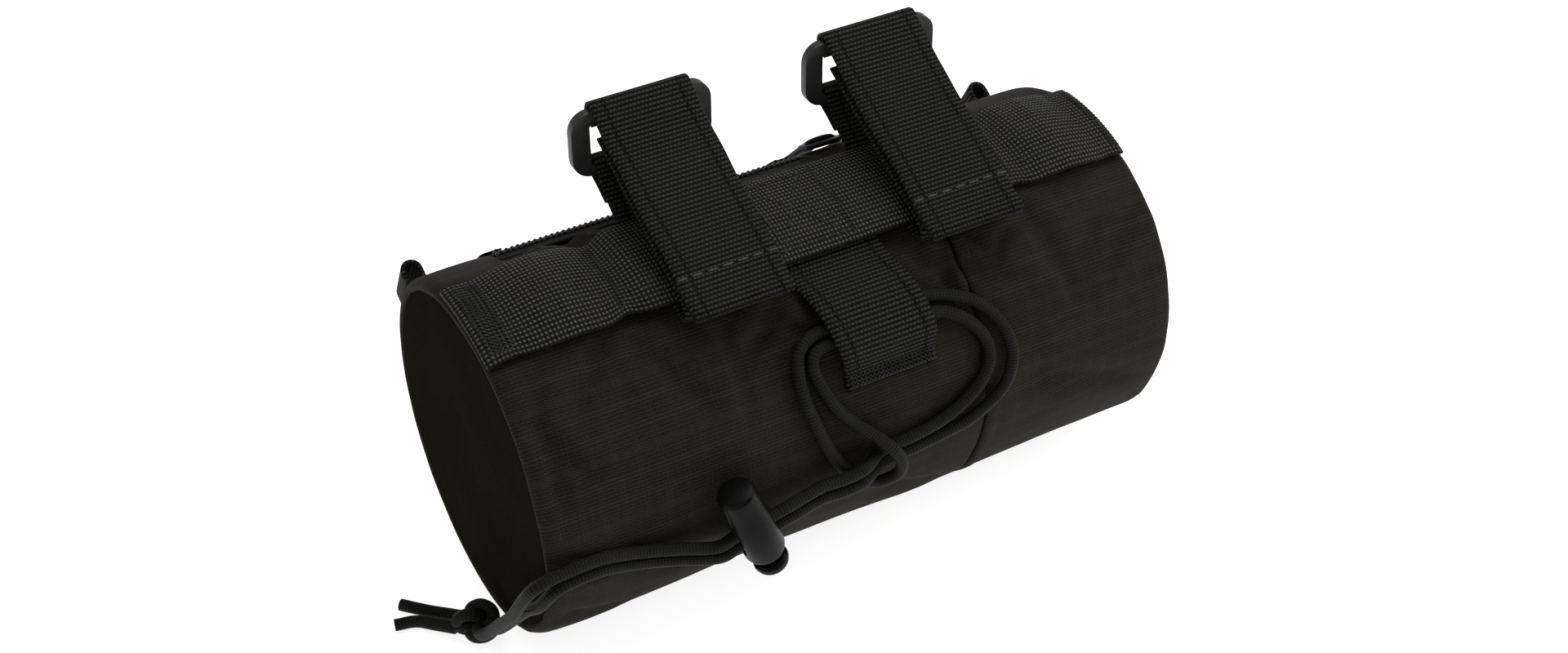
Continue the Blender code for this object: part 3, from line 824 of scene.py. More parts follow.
FOAM = Cloth("padding_foam", (0.060, 0.060, 0.062), (0.025, 0.025, 0.027), 0.95, "foam",
             0.2, weave=Weave.FUZZ, depth=0.00025)
TAPE = Cloth("zip_tape", (0.0150, 0.0145, 0.0135), (0.0040, 0.0038, 0.0035), 0.75, "zip",
             0.04, weave=Weave.TWILL, pitch=0.0009, depth=0.00012)
TEETH = Moulded("zip_teeth", (0.016, 0.016, 0.016), (0.008, 0.008, 0.008), 0.45, "zip", 0.15)
THREAD = Moulded("sewing_thread", (0.052, 0.053, 0.056), (0.020, 0.020, 0.021), 0.6, "webbing",
                 0.3, grain=3500.0, depth=0.00008)
BAR_THREAD = Moulded("tack_thread", (0.040, 0.0395, 0.0380), (0.012, 0.012, 0.0115), 0.6, "webbing",
                     0.10, grain=3500.0, depth=0.00010)
DARK_THREAD = Moulded("seam_thread", (0.0150, 0.0140, 0.0120), (0.006, 0.0056, 0.0050), 0.6, "ripstop",
                      0.2, grain=3500.0, depth=0.00008)
RING = Moulded("ring_moulding", (0.0300, 0.0298, 0.0285), (0.0170, 0.0170, 0.0162), 0.45, "ring_plastic",
               0.3, grain=1400.0, depth=0.00008)
LOCK = Moulded("lock_moulding", (0.0048, 0.0046, 0.0042), (0.0030, 0.0029, 0.0027), 0.32, "lock_plastic",
               0.06, grain=600.0, depth=0.00002)
SLIDER = Moulded("slider_paint", (0.010, 0.0098, 0.0092), (0.005, 0.0049, 0.0046), 0.5, "slider_metal",
                 0.1, grain=700.0, depth=0.00003)
SPRING = Moulded("spring_wire", (0.60, 0.60, 0.62), (0.42, 0.42, 0.44), 0.28, "spring_steel", metallic=1.0)


@dataclass(frozen=True)
class Ground(Finish):
    """Plain pale paper under the object."""

    glow: float = 0.80

    def pattern(self, graph: Graph, shader: Node) -> None:
        """Nearly even white with a trace of tooth."""
        placed = graph.node("ShaderNodeTexCoord").outputs["Object"]
        tooth = graph.noise(placed, 900.0, 2.0)
        graph.link(graph.mix(tooth, self.dark, self.light), shader.inputs["Base Color"])
        shader.inputs["Emission Color"].default_value = (1.0, 1.0, 1.0, 1.0)
        shader.inputs["Emission Strength"].default_value = self.glow


PAPER = Ground("white_paper", (0.80, 0.80, 0.80), (0.78, 0.78, 0.78), 0.9, "ripstop", 0.1)


# ---------------------------------------------------------------- geometry nodes
class NodeTools:
    """Geometry node trees for what repeats, each built once."""

    NAME = ""
    INPUTS: tuple[tuple[str, str, object], ...] = ()

    @classmethod
    def wire(cls, tree: Tree) -> None:
        """Fill the tree with its nodes; each kind of tree has its own."""
        raise NotImplementedError

    @classmethod
    def tree(cls) -> tuple[Tree, dict[str, str]]:
        """The tree and its input identifiers, built at first use."""
        known = bpy.data.node_groups.get(cls.NAME)
        if known is not None:
            sockets = [s for s in known.interface.items_tree if s.in_out == "INPUT"]
            return known, {s.name: s.identifier for s in sockets}
        tree, ids = cls.group(cls.NAME, cls.INPUTS)
        cls.wire(tree)
        return tree, ids

    @staticmethod
    def nodes(tree: Tree, kinds: dict[str, str]) -> dict[str, Node]:
        """Add nodes by short name and kind, with the group's start and end, realize and paint."""
        ends = {"start": "NodeGroupInput", "end": "NodeGroupOutput",
                "real": "GeometryNodeRealizeInstances", "paint": "GeometryNodeSetMaterial"}
        return {name: tree.nodes.new(kind) for name, kind in (ends | kinds).items()}

    @staticmethod
    def join(tree: Tree, nodes: dict[str, Node], links: str) -> None:
        """Join sockets written as node.socket>node.socket, by index or by name."""
        ends = "real.0>paint.Geometry start.Material>paint.Material paint.0>end.0"
        for link in (links + " " + ends).split():
            pair = []
            for place, side in zip(link.split(">"), ("outputs", "inputs")):
                node, socket = place.split(".")
                pair.append(getattr(nodes[node], side)[int(socket) if socket.isdigit() else socket])
            tree.links.new(*pair)

    @staticmethod
    def group(name: str,
              inputs: Sequence[tuple[str, str, object]]) -> tuple[Tree, dict[str, str]]:
        """New tree with a geometry input, named inputs and a geometry output.

        Args:
            name: the tree's name.
            inputs: (name, socket type, default) of each further input.

        Returns:
            The tree and the identifier of each input.
        """
        tree = bpy.data.node_groups.new(name, "GeometryNodeTree")
        tree.interface.new_socket("Geometry", in_out="INPUT", socket_type="NodeSocketGeometry")
        ids = {}
        for label, kind, default in inputs:
            socket = tree.interface.new_socket(label, in_out="INPUT", socket_type=kind)
            if default is not None:
                socket.default_value = default
            ids[label] = socket.identifier
        tree.interface.new_socket("Geometry", in_out="OUTPUT", socket_type="NodeSocketGeometry")
        return tree, ids

    @staticmethod
    def run(name: str, mesh: Mesh, tree: Tree, ids: dict[str, str],
            values: dict[str, object]) -> Item:
        """Evaluate a tree on a mesh and keep the plain result.

        Args:
            name: the piece's name.
            mesh: the mesh the tree starts from.
            tree: the geometry node tree.
            ids: its inputs' identifiers.
            values: the value of each input by name.

        Returns:
            The piece, with no modifier left on it.
        """
        item = linked(name, mesh)
        modifier = item.modifiers.new("pattern", "NODES")
        modifier.node_group = tree
        for label, value in values.items():
            modifier[ids[label]] = value
        bpy.context.view_layer.update()
        made = applied(item)
        made.data.shade_smooth()
        return made

    @staticmethod
    def lines_mesh(name: str, runs: Sequence[Sequence[Vector]]) -> Mesh:
        """Mesh of loose edges, one polyline for each run."""
        verts, edges = [], []
        for run in runs:
            first = len(verts)
            verts += [tuple(p) for p in run]
            edges += [(first + i, first + i + 1) for i in range(len(run) - 1)]
        mesh = bpy.data.meshes.new(name)
        mesh.from_pydata(verts, edges, [])
        return mesh


class StitchRow(NodeTools):
    """Even stitches along polylines: thread beads set end to end with a gap."""

    NAME = "stitch_row"
    INPUTS = (("Spacing", "NodeSocketFloat", 0.003), ("Length", "NodeSocketFloat", 0.0024),
              ("Thickness", "NodeSocketFloat", 0.0004), ("Height", "NodeSocketFloat", 0.0004),
              ("Wander", "NodeSocketFloat", 0.00006), ("Seed", "NodeSocketInt", 7),
              ("Roll", "NodeSocketFloat", 0.0), ("Material", "NodeSocketMaterial", None))

    @classmethod
    def wire(cls, tree: Tree) -> None:
        """Beads on evenly spaced points, turned along the line."""
        nodes = cls.nodes(tree, {
            "curve": "GeometryNodeMeshToCurve", "even": "GeometryNodeResampleCurve",
            "points": "GeometryNodeInstanceOnPoints", "tangent": "GeometryNodeInputTangent",
            "aim": "FunctionNodeAlignEulerToVector", "turn": "FunctionNodeRotateEuler",
            "bead": "GeometryNodeMeshUVSphere", "size": "ShaderNodeCombineXYZ",
            "wander": "FunctionNodeRandomValue", "move": "GeometryNodeSetPosition",
            "spread": "ShaderNodeVectorMath", "back": "ShaderNodeVectorMath"})
        nodes["even"].mode = "LENGTH"
        nodes["turn"].space = "LOCAL"
        nodes["turn"].rotation_type = "AXIS_ANGLE"
        nodes["turn"].inputs["Axis"].default_value = (1.0, 0.0, 0.0)
        for socket, value in (("Segments", 8), ("Rings", 6), ("Radius", 0.5)):
            nodes["bead"].inputs[socket].default_value = value
        nodes["wander"].data_type = "FLOAT_VECTOR"
        for name, value in (("spread", 1.0), ("back", -1.0)):
            nodes[name].operation = "SCALE"
            nodes[name].inputs[0].default_value = (value, value, value)
        cls.join(tree, nodes, """
            start.Geometry>curve.0 curve.0>even.Curve start.Spacing>even.Length even.0>move.Geometry
            start.Wander>spread.Scale start.Wander>back.Scale back.0>wander.0 spread.0>wander.1
            start.Seed>wander.Seed wander.0>move.Offset move.0>points.Points bead.0>points.Instance
            tangent.0>aim.Vector aim.0>turn.Rotation start.Roll>turn.Angle turn.0>points.Rotation
            start.Length>size.0 start.Thickness>size.1 start.Height>size.2 size.0>points.Scale
            points.0>real.0""")

    @classmethod
    def sew(cls, name: str, runs: Sequence[Sequence[Vector]], finish: Finish, spacing: float = 0.0032,
            length: float = 0.0026, thickness: float = 0.00045, height: float = 0.00045,
            roll: float = 0.0, wander: float = 0.00005) -> Item:
        """Rows of stitches along lines.

        Args:
            name: the piece's name.
            runs: the lines they follow.
            finish: the thread's finish.
            spacing: distance from stitch to stitch.
            length: length of one stitch.
            thickness: its width.
            height: how far it stands, top to bottom.
            roll: turn about the line, in radians.
            wander: how far a stitch may stray.

        Returns:
            The piece.
        """
        tree, ids = cls.tree()
        values = {"Spacing": spacing, "Length": length, "Thickness": thickness, "Height": height,
                  "Wander": wander, "Seed": 7, "Roll": roll, "Material": finish.material()}
        made = cls.run(name, cls.lines_mesh(name, runs), tree, ids, values)
        return finish.dress(made)


class ThreadRun(NodeTools):
    """Unbroken thread along polylines, as in a bar tack."""

    NAME = "thread_run"
    INPUTS = (("Radius", "NodeSocketFloat", 0.0002), ("Material", "NodeSocketMaterial", None))

    @classmethod
    def wire(cls, tree: Tree) -> None:
        """Round thread swept along the lines."""
        nodes = cls.nodes(tree, {"curve": "GeometryNodeMeshToCurve", "tubes": "GeometryNodeCurveToMesh",
                                 "ring": "GeometryNodeCurvePrimitiveCircle"})
        nodes["ring"].inputs["Resolution"].default_value = 6
        nodes["tubes"].inputs["Fill Caps"].default_value = True
        cls.join(tree, nodes, """
            start.Geometry>curve.0 curve.0>tubes.Curve start.Radius>ring.Radius ring.0>tubes.1
            tubes.0>real.0""")

    @classmethod
    def sew(cls, name: str, runs: Sequence[Sequence[Vector]], finish: Finish,
            radius: float = 0.00022) -> Item:
        """Thread along lines.

        Args:
            name: the piece's name.
            runs: the lines it follows.
            finish: the thread's finish.
            radius: the thread's radius.

        Returns:
            The piece.
        """
        tree, ids = cls.tree()
        made = cls.run(name, cls.lines_mesh(name, runs), tree, ids,
                       {"Radius": radius, "Material": finish.material()})
        return finish.dress(made)


class RolledWall(NodeTools):
    """Layer of the barrel's wall: a flat grid rolled round the axis, with the mouth left out."""

    NAME = "rolled_wall"
    INPUTS = (("Radius", "NodeSocketFloat", 0.04), ("Length", "NodeSocketFloat", 0.16),
              ("From", "NodeSocketFloat", 0.0), ("To", "NodeSocketFloat", math.tau),
              ("Middle", "NodeSocketFloat", 0.0), ("Floor", "NodeSocketFloat", -0.04),
              ("Columns", "NodeSocketInt", 40), ("Rows", "NodeSocketInt", 120),
              ("Material", "NodeSocketMaterial", None))

    @classmethod
    def wire(cls, tree: Tree) -> None:
        """Flat grid rolled round the axis, no lower than the flat it rests on."""
        nodes = cls.nodes(tree, {
            "grid": "GeometryNodeMeshGrid", "move": "GeometryNodeSetPosition",
            "place": "GeometryNodeInputPosition", "split": "ShaderNodeSeparateXYZ",
            "put": "ShaderNodeCombineXYZ", "flat": "ShaderNodeCombineXYZ",
            "store": "GeometryNodeStoreNamedAttribute"})
        nodes["store"].data_type = "FLOAT2"
        nodes["store"].domain = "CORNER"
        nodes["store"].inputs["Name"].default_value = "UVMap"
        nodes["grid"].inputs["Size Y"].default_value = 1.0
        sums = (("share", "ADD", "split.1", 0.5), ("reach", "SUBTRACT", "start.To", "start.From"),
                ("angle", "MULTIPLY_ADD", "share.0", "reach.0", "start.From"),
                ("cosine", "COSINE", "angle.0"), ("near", "MULTIPLY", "cosine.0", "start.Radius"),
                ("y", "MULTIPLY", "near.0", -1.0), ("sine", "SINE", "angle.0"),
                ("high", "MULTIPLY", "sine.0", "start.Radius"),
                ("kept", "MAXIMUM", "high.0", "start.Floor"), ("z", "ADD", "kept.0", AXIS_Z),
                ("x", "ADD", "split.0", "start.Middle"), ("arc", "MULTIPLY", "angle.0", "start.Radius"))
        links = ""
        for name, operation, *values in sums:
            nodes[name] = tree.nodes.new("ShaderNodeMath")
            nodes[name].operation = operation
            for i, value in enumerate(values):
                if isinstance(value, str):
                    links += f"{value}>{name}.{i} "
                else:
                    nodes[name].inputs[i].default_value = value
        cls.join(tree, nodes, links + """
            start.Length>grid.0 start.Columns>grid.2 start.Rows>grid.3 place.0>split.0
            x.0>put.0 y.0>put.1 z.0>put.2 split.0>flat.0 arc.0>flat.1 grid.0>store.Geometry
            flat.0>store.Value store.0>move.Geometry put.0>move.Position move.0>real.0""")

    @classmethod
    def sheet(cls, name: str, radius: float, x_from: float, x_to: float, start: float, stop: float,
              finish: Finish) -> Item:
        """One open patch of a layer.

        Args:
            name: the patch's name.
            radius: the layer's radius.
            x_from: its left end.
            x_to: its right end.
            start: first angle, in degrees.
            stop: last angle, in degrees.
            finish: its finish.

        Returns:
            The patch, one sheet thick.
        """
        tree, ids = cls.tree()
        rows = max(8, round((stop - start) / 3.0)) + 1
        columns = max(6, round((x_to - x_from) / 0.004)) + 1
        values = {"Radius": radius, "Length": x_to - x_from, "From": math.radians(start),
                  "To": math.radians(stop), "Middle": (x_from + x_to) / 2,
                  "Floor": -(AXIS_Z - (BARREL_R - radius)), "Columns": columns, "Rows": rows,
                  "Material": finish.material()}
        return cls.run(name, bpy.data.meshes.new(name), tree, ids, values)

    @classmethod
    def layer(cls, name: str, patches: Sequence[tuple[float, float, float, float]], radius: float,
              thickness: float, finish: Finish) -> Item:
        """Closed layer of the wall made from patches that meet.

        Args:
            name: the piece's name.
            patches: (x from, x to, first angle, last angle) of each.
            radius: the layer's outer radius.
            thickness: its thickness, inwards.
            finish: its finish.

        Returns:
            The new object.
        """
        body = bmesh.new()
        for patch in patches:
            part = cls.sheet(name + "_patch", radius, *patch, finish)
            body.from_mesh(part.data)
            bpy.data.objects.remove(part)
        bmesh.ops.remove_doubles(body, verts=body.verts, dist=2e-5)
        mesh = bpy.data.meshes.new(name)
        body.to_mesh(mesh)
        body.free()
        return finish.dress(thickened(name, mesh, thickness))


# ---------------------------------------------------------------- the barrel
@dataclass(frozen=True)
class Crease:
    """Soft fold in the cloth, from one place to another on the barrel."""

    x_from: float
    deg_from: float
    x_to: float
    deg_to: float
    width: float
    depth: float

    def at(self, x: float, deg: float) -> float:
        """Height the fold adds at a place.

        Args:
            x: place along the barrel.
            deg: angle around it.

        Returns:
            Metres outward, negative in the hollow and a little positive beside it.
        """
        arc = math.radians(1.0) * BARREL_R
        ax, ay = self.x_from, self.deg_from * arc
        bx, by = self.x_to, self.deg_to * arc
        px, py = x, deg * arc
        length2 = (bx - ax) ** 2 + (by - ay) ** 2
        t = ((px - ax) * (bx - ax) + (py - ay) * (by - ay)) / length2
        bend = 0.0012 * math.sin(3.1 * t + 40.0 * self.x_from)
        away = ((px - ax) * (by - ay) - (py - ay) * (bx - ax)) / math.sqrt(length2) + bend
        taper = step_up(t, -0.15, 0.25) * (1 - step_up(t, 0.7, 1.15))
        narrow, deep = CREASE_HOLLOW
        beside, high = CREASE_SHOULDER
        hollow = gauss(away, 0.0, narrow * self.width)
        shoulder = sum(gauss(away, way * beside * self.width, self.width) for way in (1, -1))
        return taper * self.depth * (high * shoulder - deep * hollow)


def patch(name: str, x_from: float, x_to: float, deg_from: float, deg_to: float,
          radius: Callable[[float, float], float], thickness: float, finish: Finish,
          step_x: float = 0.0012, step_deg: float = 2.0) -> Item:
    """Piece of cloth or webbing that lies around the barrel.

    Args:
        name: the piece's name.
        x_from: its left end.
        x_to: its right end.
        deg_from: first angle.
        deg_to: last angle.
        radius: its middle surface's radius at a place (x, degrees).
        thickness: its thickness.
        finish: its finish.
        step_x: size of its cells along the barrel.
        step_deg: size of its cells around it.

    Returns:
        The new object.
    """
    rows = max(2, round((x_to - x_from) / step_x)) + 1
    columns = max(2, round((deg_to - deg_from) / step_deg)) + 1
    grid = np.zeros((rows, columns, 3))
    uv = np.zeros((rows, columns, 2))
    for i in range(rows):
        x = x_from + (x_to - x_from) * i / (rows - 1)
        for j in range(columns):
            deg = deg_from + (deg_to - deg_from) * j / (columns - 1)
            grid[i, j] = polar(x, deg, radius(x, deg))
            uv[i, j] = (math.radians(deg - (deg_from + deg_to) / 2) * BARREL_R, x)
    return finish.dress(shell(name, grid, uv, thickness))


@dataclass
class Barrel:
    """Padded barrel: outer panels, padding, lining, ends and the binding in their seams."""

    skin: float = 0.0005
    foam_r: float = 0.0420
    foam_t: float = 0.0020
    lining_r: float = 0.0399
    lining_t: float = 0.0005
    hinge_to: float = 200.0
    foam_reach: float = 0.0829
    lining_reach: float = 0.0808
    end_r: float = 0.0414
    end_bulges: Point2 = (0.0021, 0.0046)
    deepest: float = -0.00150
    highest: float = 0.00034
    round_cells: int = 156
    mouth_cells: int = 50
    tacks: tuple[float, ...] = (-0.0805, -0.050, 0.0015, 0.0510, 0.0805)
    creases: tuple[Crease, ...] = (
        Crease(-0.012, 60, -0.030, 44, 0.0026, 0.00085), Crease(-0.008, 40, -0.021, 56, 0.0020, 0.0006),
        Crease(0.020, 54, 0.046, 38, 0.0028, 0.0008), Crease(0.018, 62, 0.030, 30, 0.0022, 0.0006),
        Crease(-0.052, 63, -0.040, 30, 0.0034, 0.0007), Crease(-0.056, 62, -0.072, 44, 0.0030, 0.0006),
        Crease(-0.030, 58, -0.034, 22, 0.0030, 0.0005), Crease(0.050, 62, 0.058, 30, 0.0034, 0.0007),
        Crease(0.052, 60, 0.040, 46, 0.0022, 0.0005), Crease(-0.076, 60, -0.079, 20, 0.0024, 0.0006),
        Crease(-0.049, 101, -0.058, 128, 0.0030, 0.0008), Crease(0.030, 101, 0.036, 140, 0.0026, 0.0007),
        Crease(0.050, 101, 0.060, 150, 0.0034, 0.0008), Crease(-0.062, -10, -0.020, -28, 0.0040, 0.0006),
        Crease(0.000, -20, 0.026, -40, 0.0034, 0.0005), Crease(0.040, 6, 0.076, -12, 0.0040, 0.0006),
        Crease(-0.060, 214, -0.020, 228, 0.0040, 0.0007), Crease(0.020, 206, 0.060, 222, 0.0038, 0.0007),
        Crease(0.0275, 62, 0.0245, 40, 0.0022, 0.0008), Crease(0.031, 60, 0.040, 50, 0.0018, 0.0007),
        Crease(-0.083, 50, -0.070, 26, 0.0026, 0.0007), Crease(-0.083, 4, -0.066, -8, 0.0028, 0.0006),
        Crease(-0.082, -22, -0.060, -40, 0.0032, 0.0006), Crease(0.083, 48, 0.066, 30, 0.0028, 0.0006),
        Crease(0.050, 176, 0.078, 168, 0.0032, 0.0006), Crease(-0.078, 150, -0.074, 190, 0.0030, 0.0006),
    )

    def relief(self, x: float, deg: float) -> float:
        """How far the cloth stands off its even round shape.

        Args:
            x: place along the barrel.
            deg: angle around it.

        Returns:
            Metres outward.
        """
        turn = math.radians(deg)
        side = Vector((x * 22.0, 1.5 * math.cos(turn), 1.5 * math.sin(turn)))
        value = noise.noise(side) * 0.00065 - 0.00022
        value += noise.noise(Vector((x * 60.0, 5 * math.cos(turn), 5 * math.sin(turn) + 7.0))) * 0.00030
        wrapped = deg - 360.0 if deg > 250.0 else deg
        for crease in self.creases:
            value += crease.at(x, wrapped)
        for tack in self.tacks:
            value -= 0.0009 * gauss(x, tack, 0.004) * step_up(deg, 60, 68) * (1 - step_up(deg, 96, 104))
        value -= 0.0007 * gauss(x, SEAM_X - 0.0004, 0.0009)
        past_seam = 1 - step_up(x, SEAM_X + 0.0032, SEAM_X + 0.006)
        value += 0.00018 * step_up(x, SEAM_X, SEAM_X + 0.0006) * past_seam
        value -= 0.0005 * gauss(x, SEAM_ROW, 0.0006)
        over_mouth = step_up(x, -0.070, -0.064) * (1 - step_up(x, 0.014, 0.02))
        value -= 0.0004 * gauss(deg, MOUTH_TOP - 1.2, 1.6) * over_mouth
        return min(self.highest, max(self.deepest, value))

    def place(self, x: float, deg: float, drop: float = 0.0) -> Vector:
        """Point on the outer cloth's surface, kept above the surface it rests on."""
        point = polar(x, deg, BARREL_R + drop + self.relief(x, deg))
        point.z = max(point.z, 0.00005)
        return point

    def stations(self, label: str) -> list[tuple[float, float]]:
        """(X, drop below the barrel's radius) of each row of one panel."""
        rim = [(0.0838, -0.0031), (0.0845, -0.0028), (0.0849, -0.0021), (0.0848, -0.0013),
               (0.0843, -0.0007), (0.0834, -0.00028), (0.0824, -0.00006)]
        if label == "left":
            runs = ((-0.0812, MOUTH_X[0] - GAP), (MOUTH_X[0] - GAP, MOUTH_X[1] + GAP),
                    (MOUTH_X[1] + GAP, SEAM_X - 0.0002))
            made = [(-x, drop) for x, drop in rim]
        else:
            runs = ((SEAM_X + 0.0001, 0.0812),)
            made = []
        for low, high in runs:
            count = max(2, round((high - low) / 0.00125))
            made += [(low + (high - low) * i / count, 0.0) for i in range(count)]
        made.append((runs[-1][1], 0.0))
        if label == "right":
            made += [(x, drop) for x, drop in reversed(rim)]
        return made

    def panel(self, label: str) -> Item:
        """One outer panel, open at the mouth, with its rolled end.

        Args:
            label: "left" or "right".

        Returns:
            The panel.
        """
        rows = self.stations(label)
        top = MOUTH_TOP + 360.0
        angles = list(np.linspace(self.hinge_to, top, self.round_cells, endpoint=False))
        angles += list(np.linspace(top, self.hinge_to + 360.0, self.mouth_cells, endpoint=False))
        columns = len(angles)
        verts = [tuple(self.place(x, deg % 360.0, drop)) for x, drop in rows for deg in angles]
        faces, uvs = [], []
        for i in range(len(rows) - 1):
            middle = (rows[i][0] + rows[i + 1][0]) / 2
            for j in range(columns):
                inside = MOUTH_X[0] - GAP < middle < MOUTH_X[1] + GAP
                if label == "left" and inside and j >= self.round_cells:
                    continue
                k = (j + 1) % columns
                first, second = i * columns, (i + 1) * columns
                faces.append((first + j, second + j, second + k, first + k))
                low = math.radians(angles[j]) * BARREL_R
                high = math.radians(angles[j] + (angles[k] - angles[j]) % 360.0) * BARREL_R
                near, far = rows[i][0], rows[i + 1][0]
                uvs += [(near, low), (far, low), (far, high), (near, high)]
        name = "body_panel_" + label + "_cloth"
        made = RIPSTOP.dress(thickened(name, uv_mesh(name, verts, faces, uvs), self.skin))
        made.data.shade_smooth()
        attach(made, "bag")
        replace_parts(made, "body_panel_" + label)
        return made

    def wall_patches(self, reach: float) -> list[tuple[float, float, float, float]]:
        """Patches of an inner layer, which leave the mouth open."""
        low, high = MOUTH_X[0] - GAP, MOUTH_X[1] + GAP
        wide = (self.hinge_to, MOUTH_TOP + 360.0)
        shut = (MOUTH_TOP + 360.0, self.hinge_to + 360.0)
        return [(-reach, low, *wide), (low, high, *wide), (high, reach, *wide),
                (-reach, low, *shut), (high, reach, *shut)]

    def inner_layers(self) -> list[Item]:
        """Padding and lining of the wall."""
        foam = RolledWall.layer("wall_padding", self.wall_patches(self.foam_reach), self.foam_r,
                                self.foam_t, FOAM)
        lining = RolledWall.layer("wall_lining_cloth", self.wall_patches(self.lining_reach),
                                  self.lining_r, self.lining_t, LINING)
        for item, node in ((foam, "wall_foam"), (lining, "wall_lining")):
            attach(item, "bag")
            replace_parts(item, node)
        return [foam, lining]

    def end(self, side: int) -> list[Item]:
        """End panel, its pad and the binding in its seam.

        Args:
            side: -1 for the left end, 1 for the right.

        Returns:
            The pieces.
        """
        label = "left" if side < 0 else "right"
        turn = Matrix(((0, 0, side, 0), (1, 0, 0, 0), (0, 1, 0, AXIS_Z), (0, 0, 0, 1)))
        bulge = self.end_bulges[side > 0]
        crown = [(self.end_r * math.sin(math.radians(a)), 0.0838 + bulge * math.cos(math.radians(a)) ** 0.55)
                 for a in range(0, 90, 3)]
        profile = [(0.0, crown[0][1])] + crown[1:] + [(self.end_r, 0.0833), (self.end_r - 0.0006, 0.0830)]
        profile += [(r, 0.0832) for r in (0.036, 0.024, 0.012, 0.0)]
        panel = lathe("end_panel_" + label + "_cloth", profile, 144, turn, SOFT_EDGE)
        for vertex in panel.data.vertices:
            y, z = vertex.co.y, vertex.co.z - AXIS_Z
            r = math.hypot(y, z)
            deg = math.degrees(math.atan2(z, -y))
            lift = 0.0007 * noise.noise(Vector((y * 45, z * 45, 3.0 * side)))
            lift *= step_up(self.end_r - r, 0.0, 0.012)
            pleat = gauss(deg, -72.0, 5.0) * step_up(r, 0.020, 0.036)
            pleat += gauss(deg, 118.0, 4.0) * step_up(r, 0.026, 0.038)
            lift -= 0.0007 * pleat * step_up(self.end_r - r, -0.0002, 0.003)
            if abs(vertex.co.x) > 0.0833:
                vertex.co.x += side * lift
            vertex.co.z = max(vertex.co.z, 0.0022)
        flat_uv(panel, 1, 2)
        PLAIN_END.dress(panel)
        pad_profile = [(0.0, 0.0829), (0.0396, 0.0829), (0.0399, 0.0826), (0.0399, 0.0816),
                       (0.0390, 0.0812), (0.020, 0.0806), (0.0, 0.0804)]
        pad = lathe("end_pad_" + label, pad_profile, 96, turn, SOFT_EDGE)
        for vertex in pad.data.vertices:
            vertex.co.z = max(vertex.co.z, 0.0042)
        flat_uv(pad, 1, 2)
        LINING.dress(pad)
        ring = []
        for i in range(180):
            point = polar(side * 0.0837, i * 2.0, self.end_r + 0.00045)
            point.z = max(point.z, 0.0020)
            ring.append(point)
        binding = BINDING.dress(tube("seam_binding_" + label + "_cloth", ring, 0.00085, 8, closed=True))
        for item, node in ((panel, "end_panel_"), (pad, "end_foam_"), (binding, "seam_binding_")):
            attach(item, "bag")
            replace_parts(item, node + label)
        return [panel, pad, binding]

    def seam_rows(self) -> list[Item]:
        """Topstitching beside the seam round the barrel and above the zip."""
        degs = [d for d in np.arange(-62.0, 244.0, 1.5) if not 63.0 < d < 101.0]
        runs: list[list[Vector]] = [[]]
        for before, deg in zip([None] + degs, degs):
            if before is not None and deg - before > 3.0:
                runs.append([])
            runs[-1].append(polar(SEAM_ROW, deg, BARREL_R + self.relief(SEAM_ROW, deg % 360) + 0.00002))
        seam = StitchRow.sew("seam_stitches", runs, DARK_THREAD, *SEAM_STITCH)
        top = [[polar(x, MOUTH_TOP - 1.6, BARREL_R + self.relief(x, MOUTH_TOP - 1.6) + 0.00002)
                for x in np.arange(MOUTH_X[0], MOUTH_X[1], 0.001)]]
        zip_row = StitchRow.sew("mouth_stitches", top, DARK_THREAD, *SEAM_STITCH)
        return [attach(seam, "bag"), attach(zip_row, "bag")]

    def build(self) -> list[Item]:
        """All pieces of the barrel."""
        made = [self.panel("left"), self.panel("right"), *self.inner_layers()]
        for side in (-1, 1):
            made += self.end(side)
        return made + self.seam_rows()


def flat_uv(item: Item, first: int, second: int) -> None:
    """UV map in metres straight from two of the coordinates."""
    mesh = item.data
    layer = mesh.uv_layers.get("UVMap") or mesh.uv_layers.new(name="UVMap")
    for loop in mesh.loops:
        co = mesh.vertices[loop.vertex_index].co
        layer.data[loop.index].uv = (co[first], co[second])


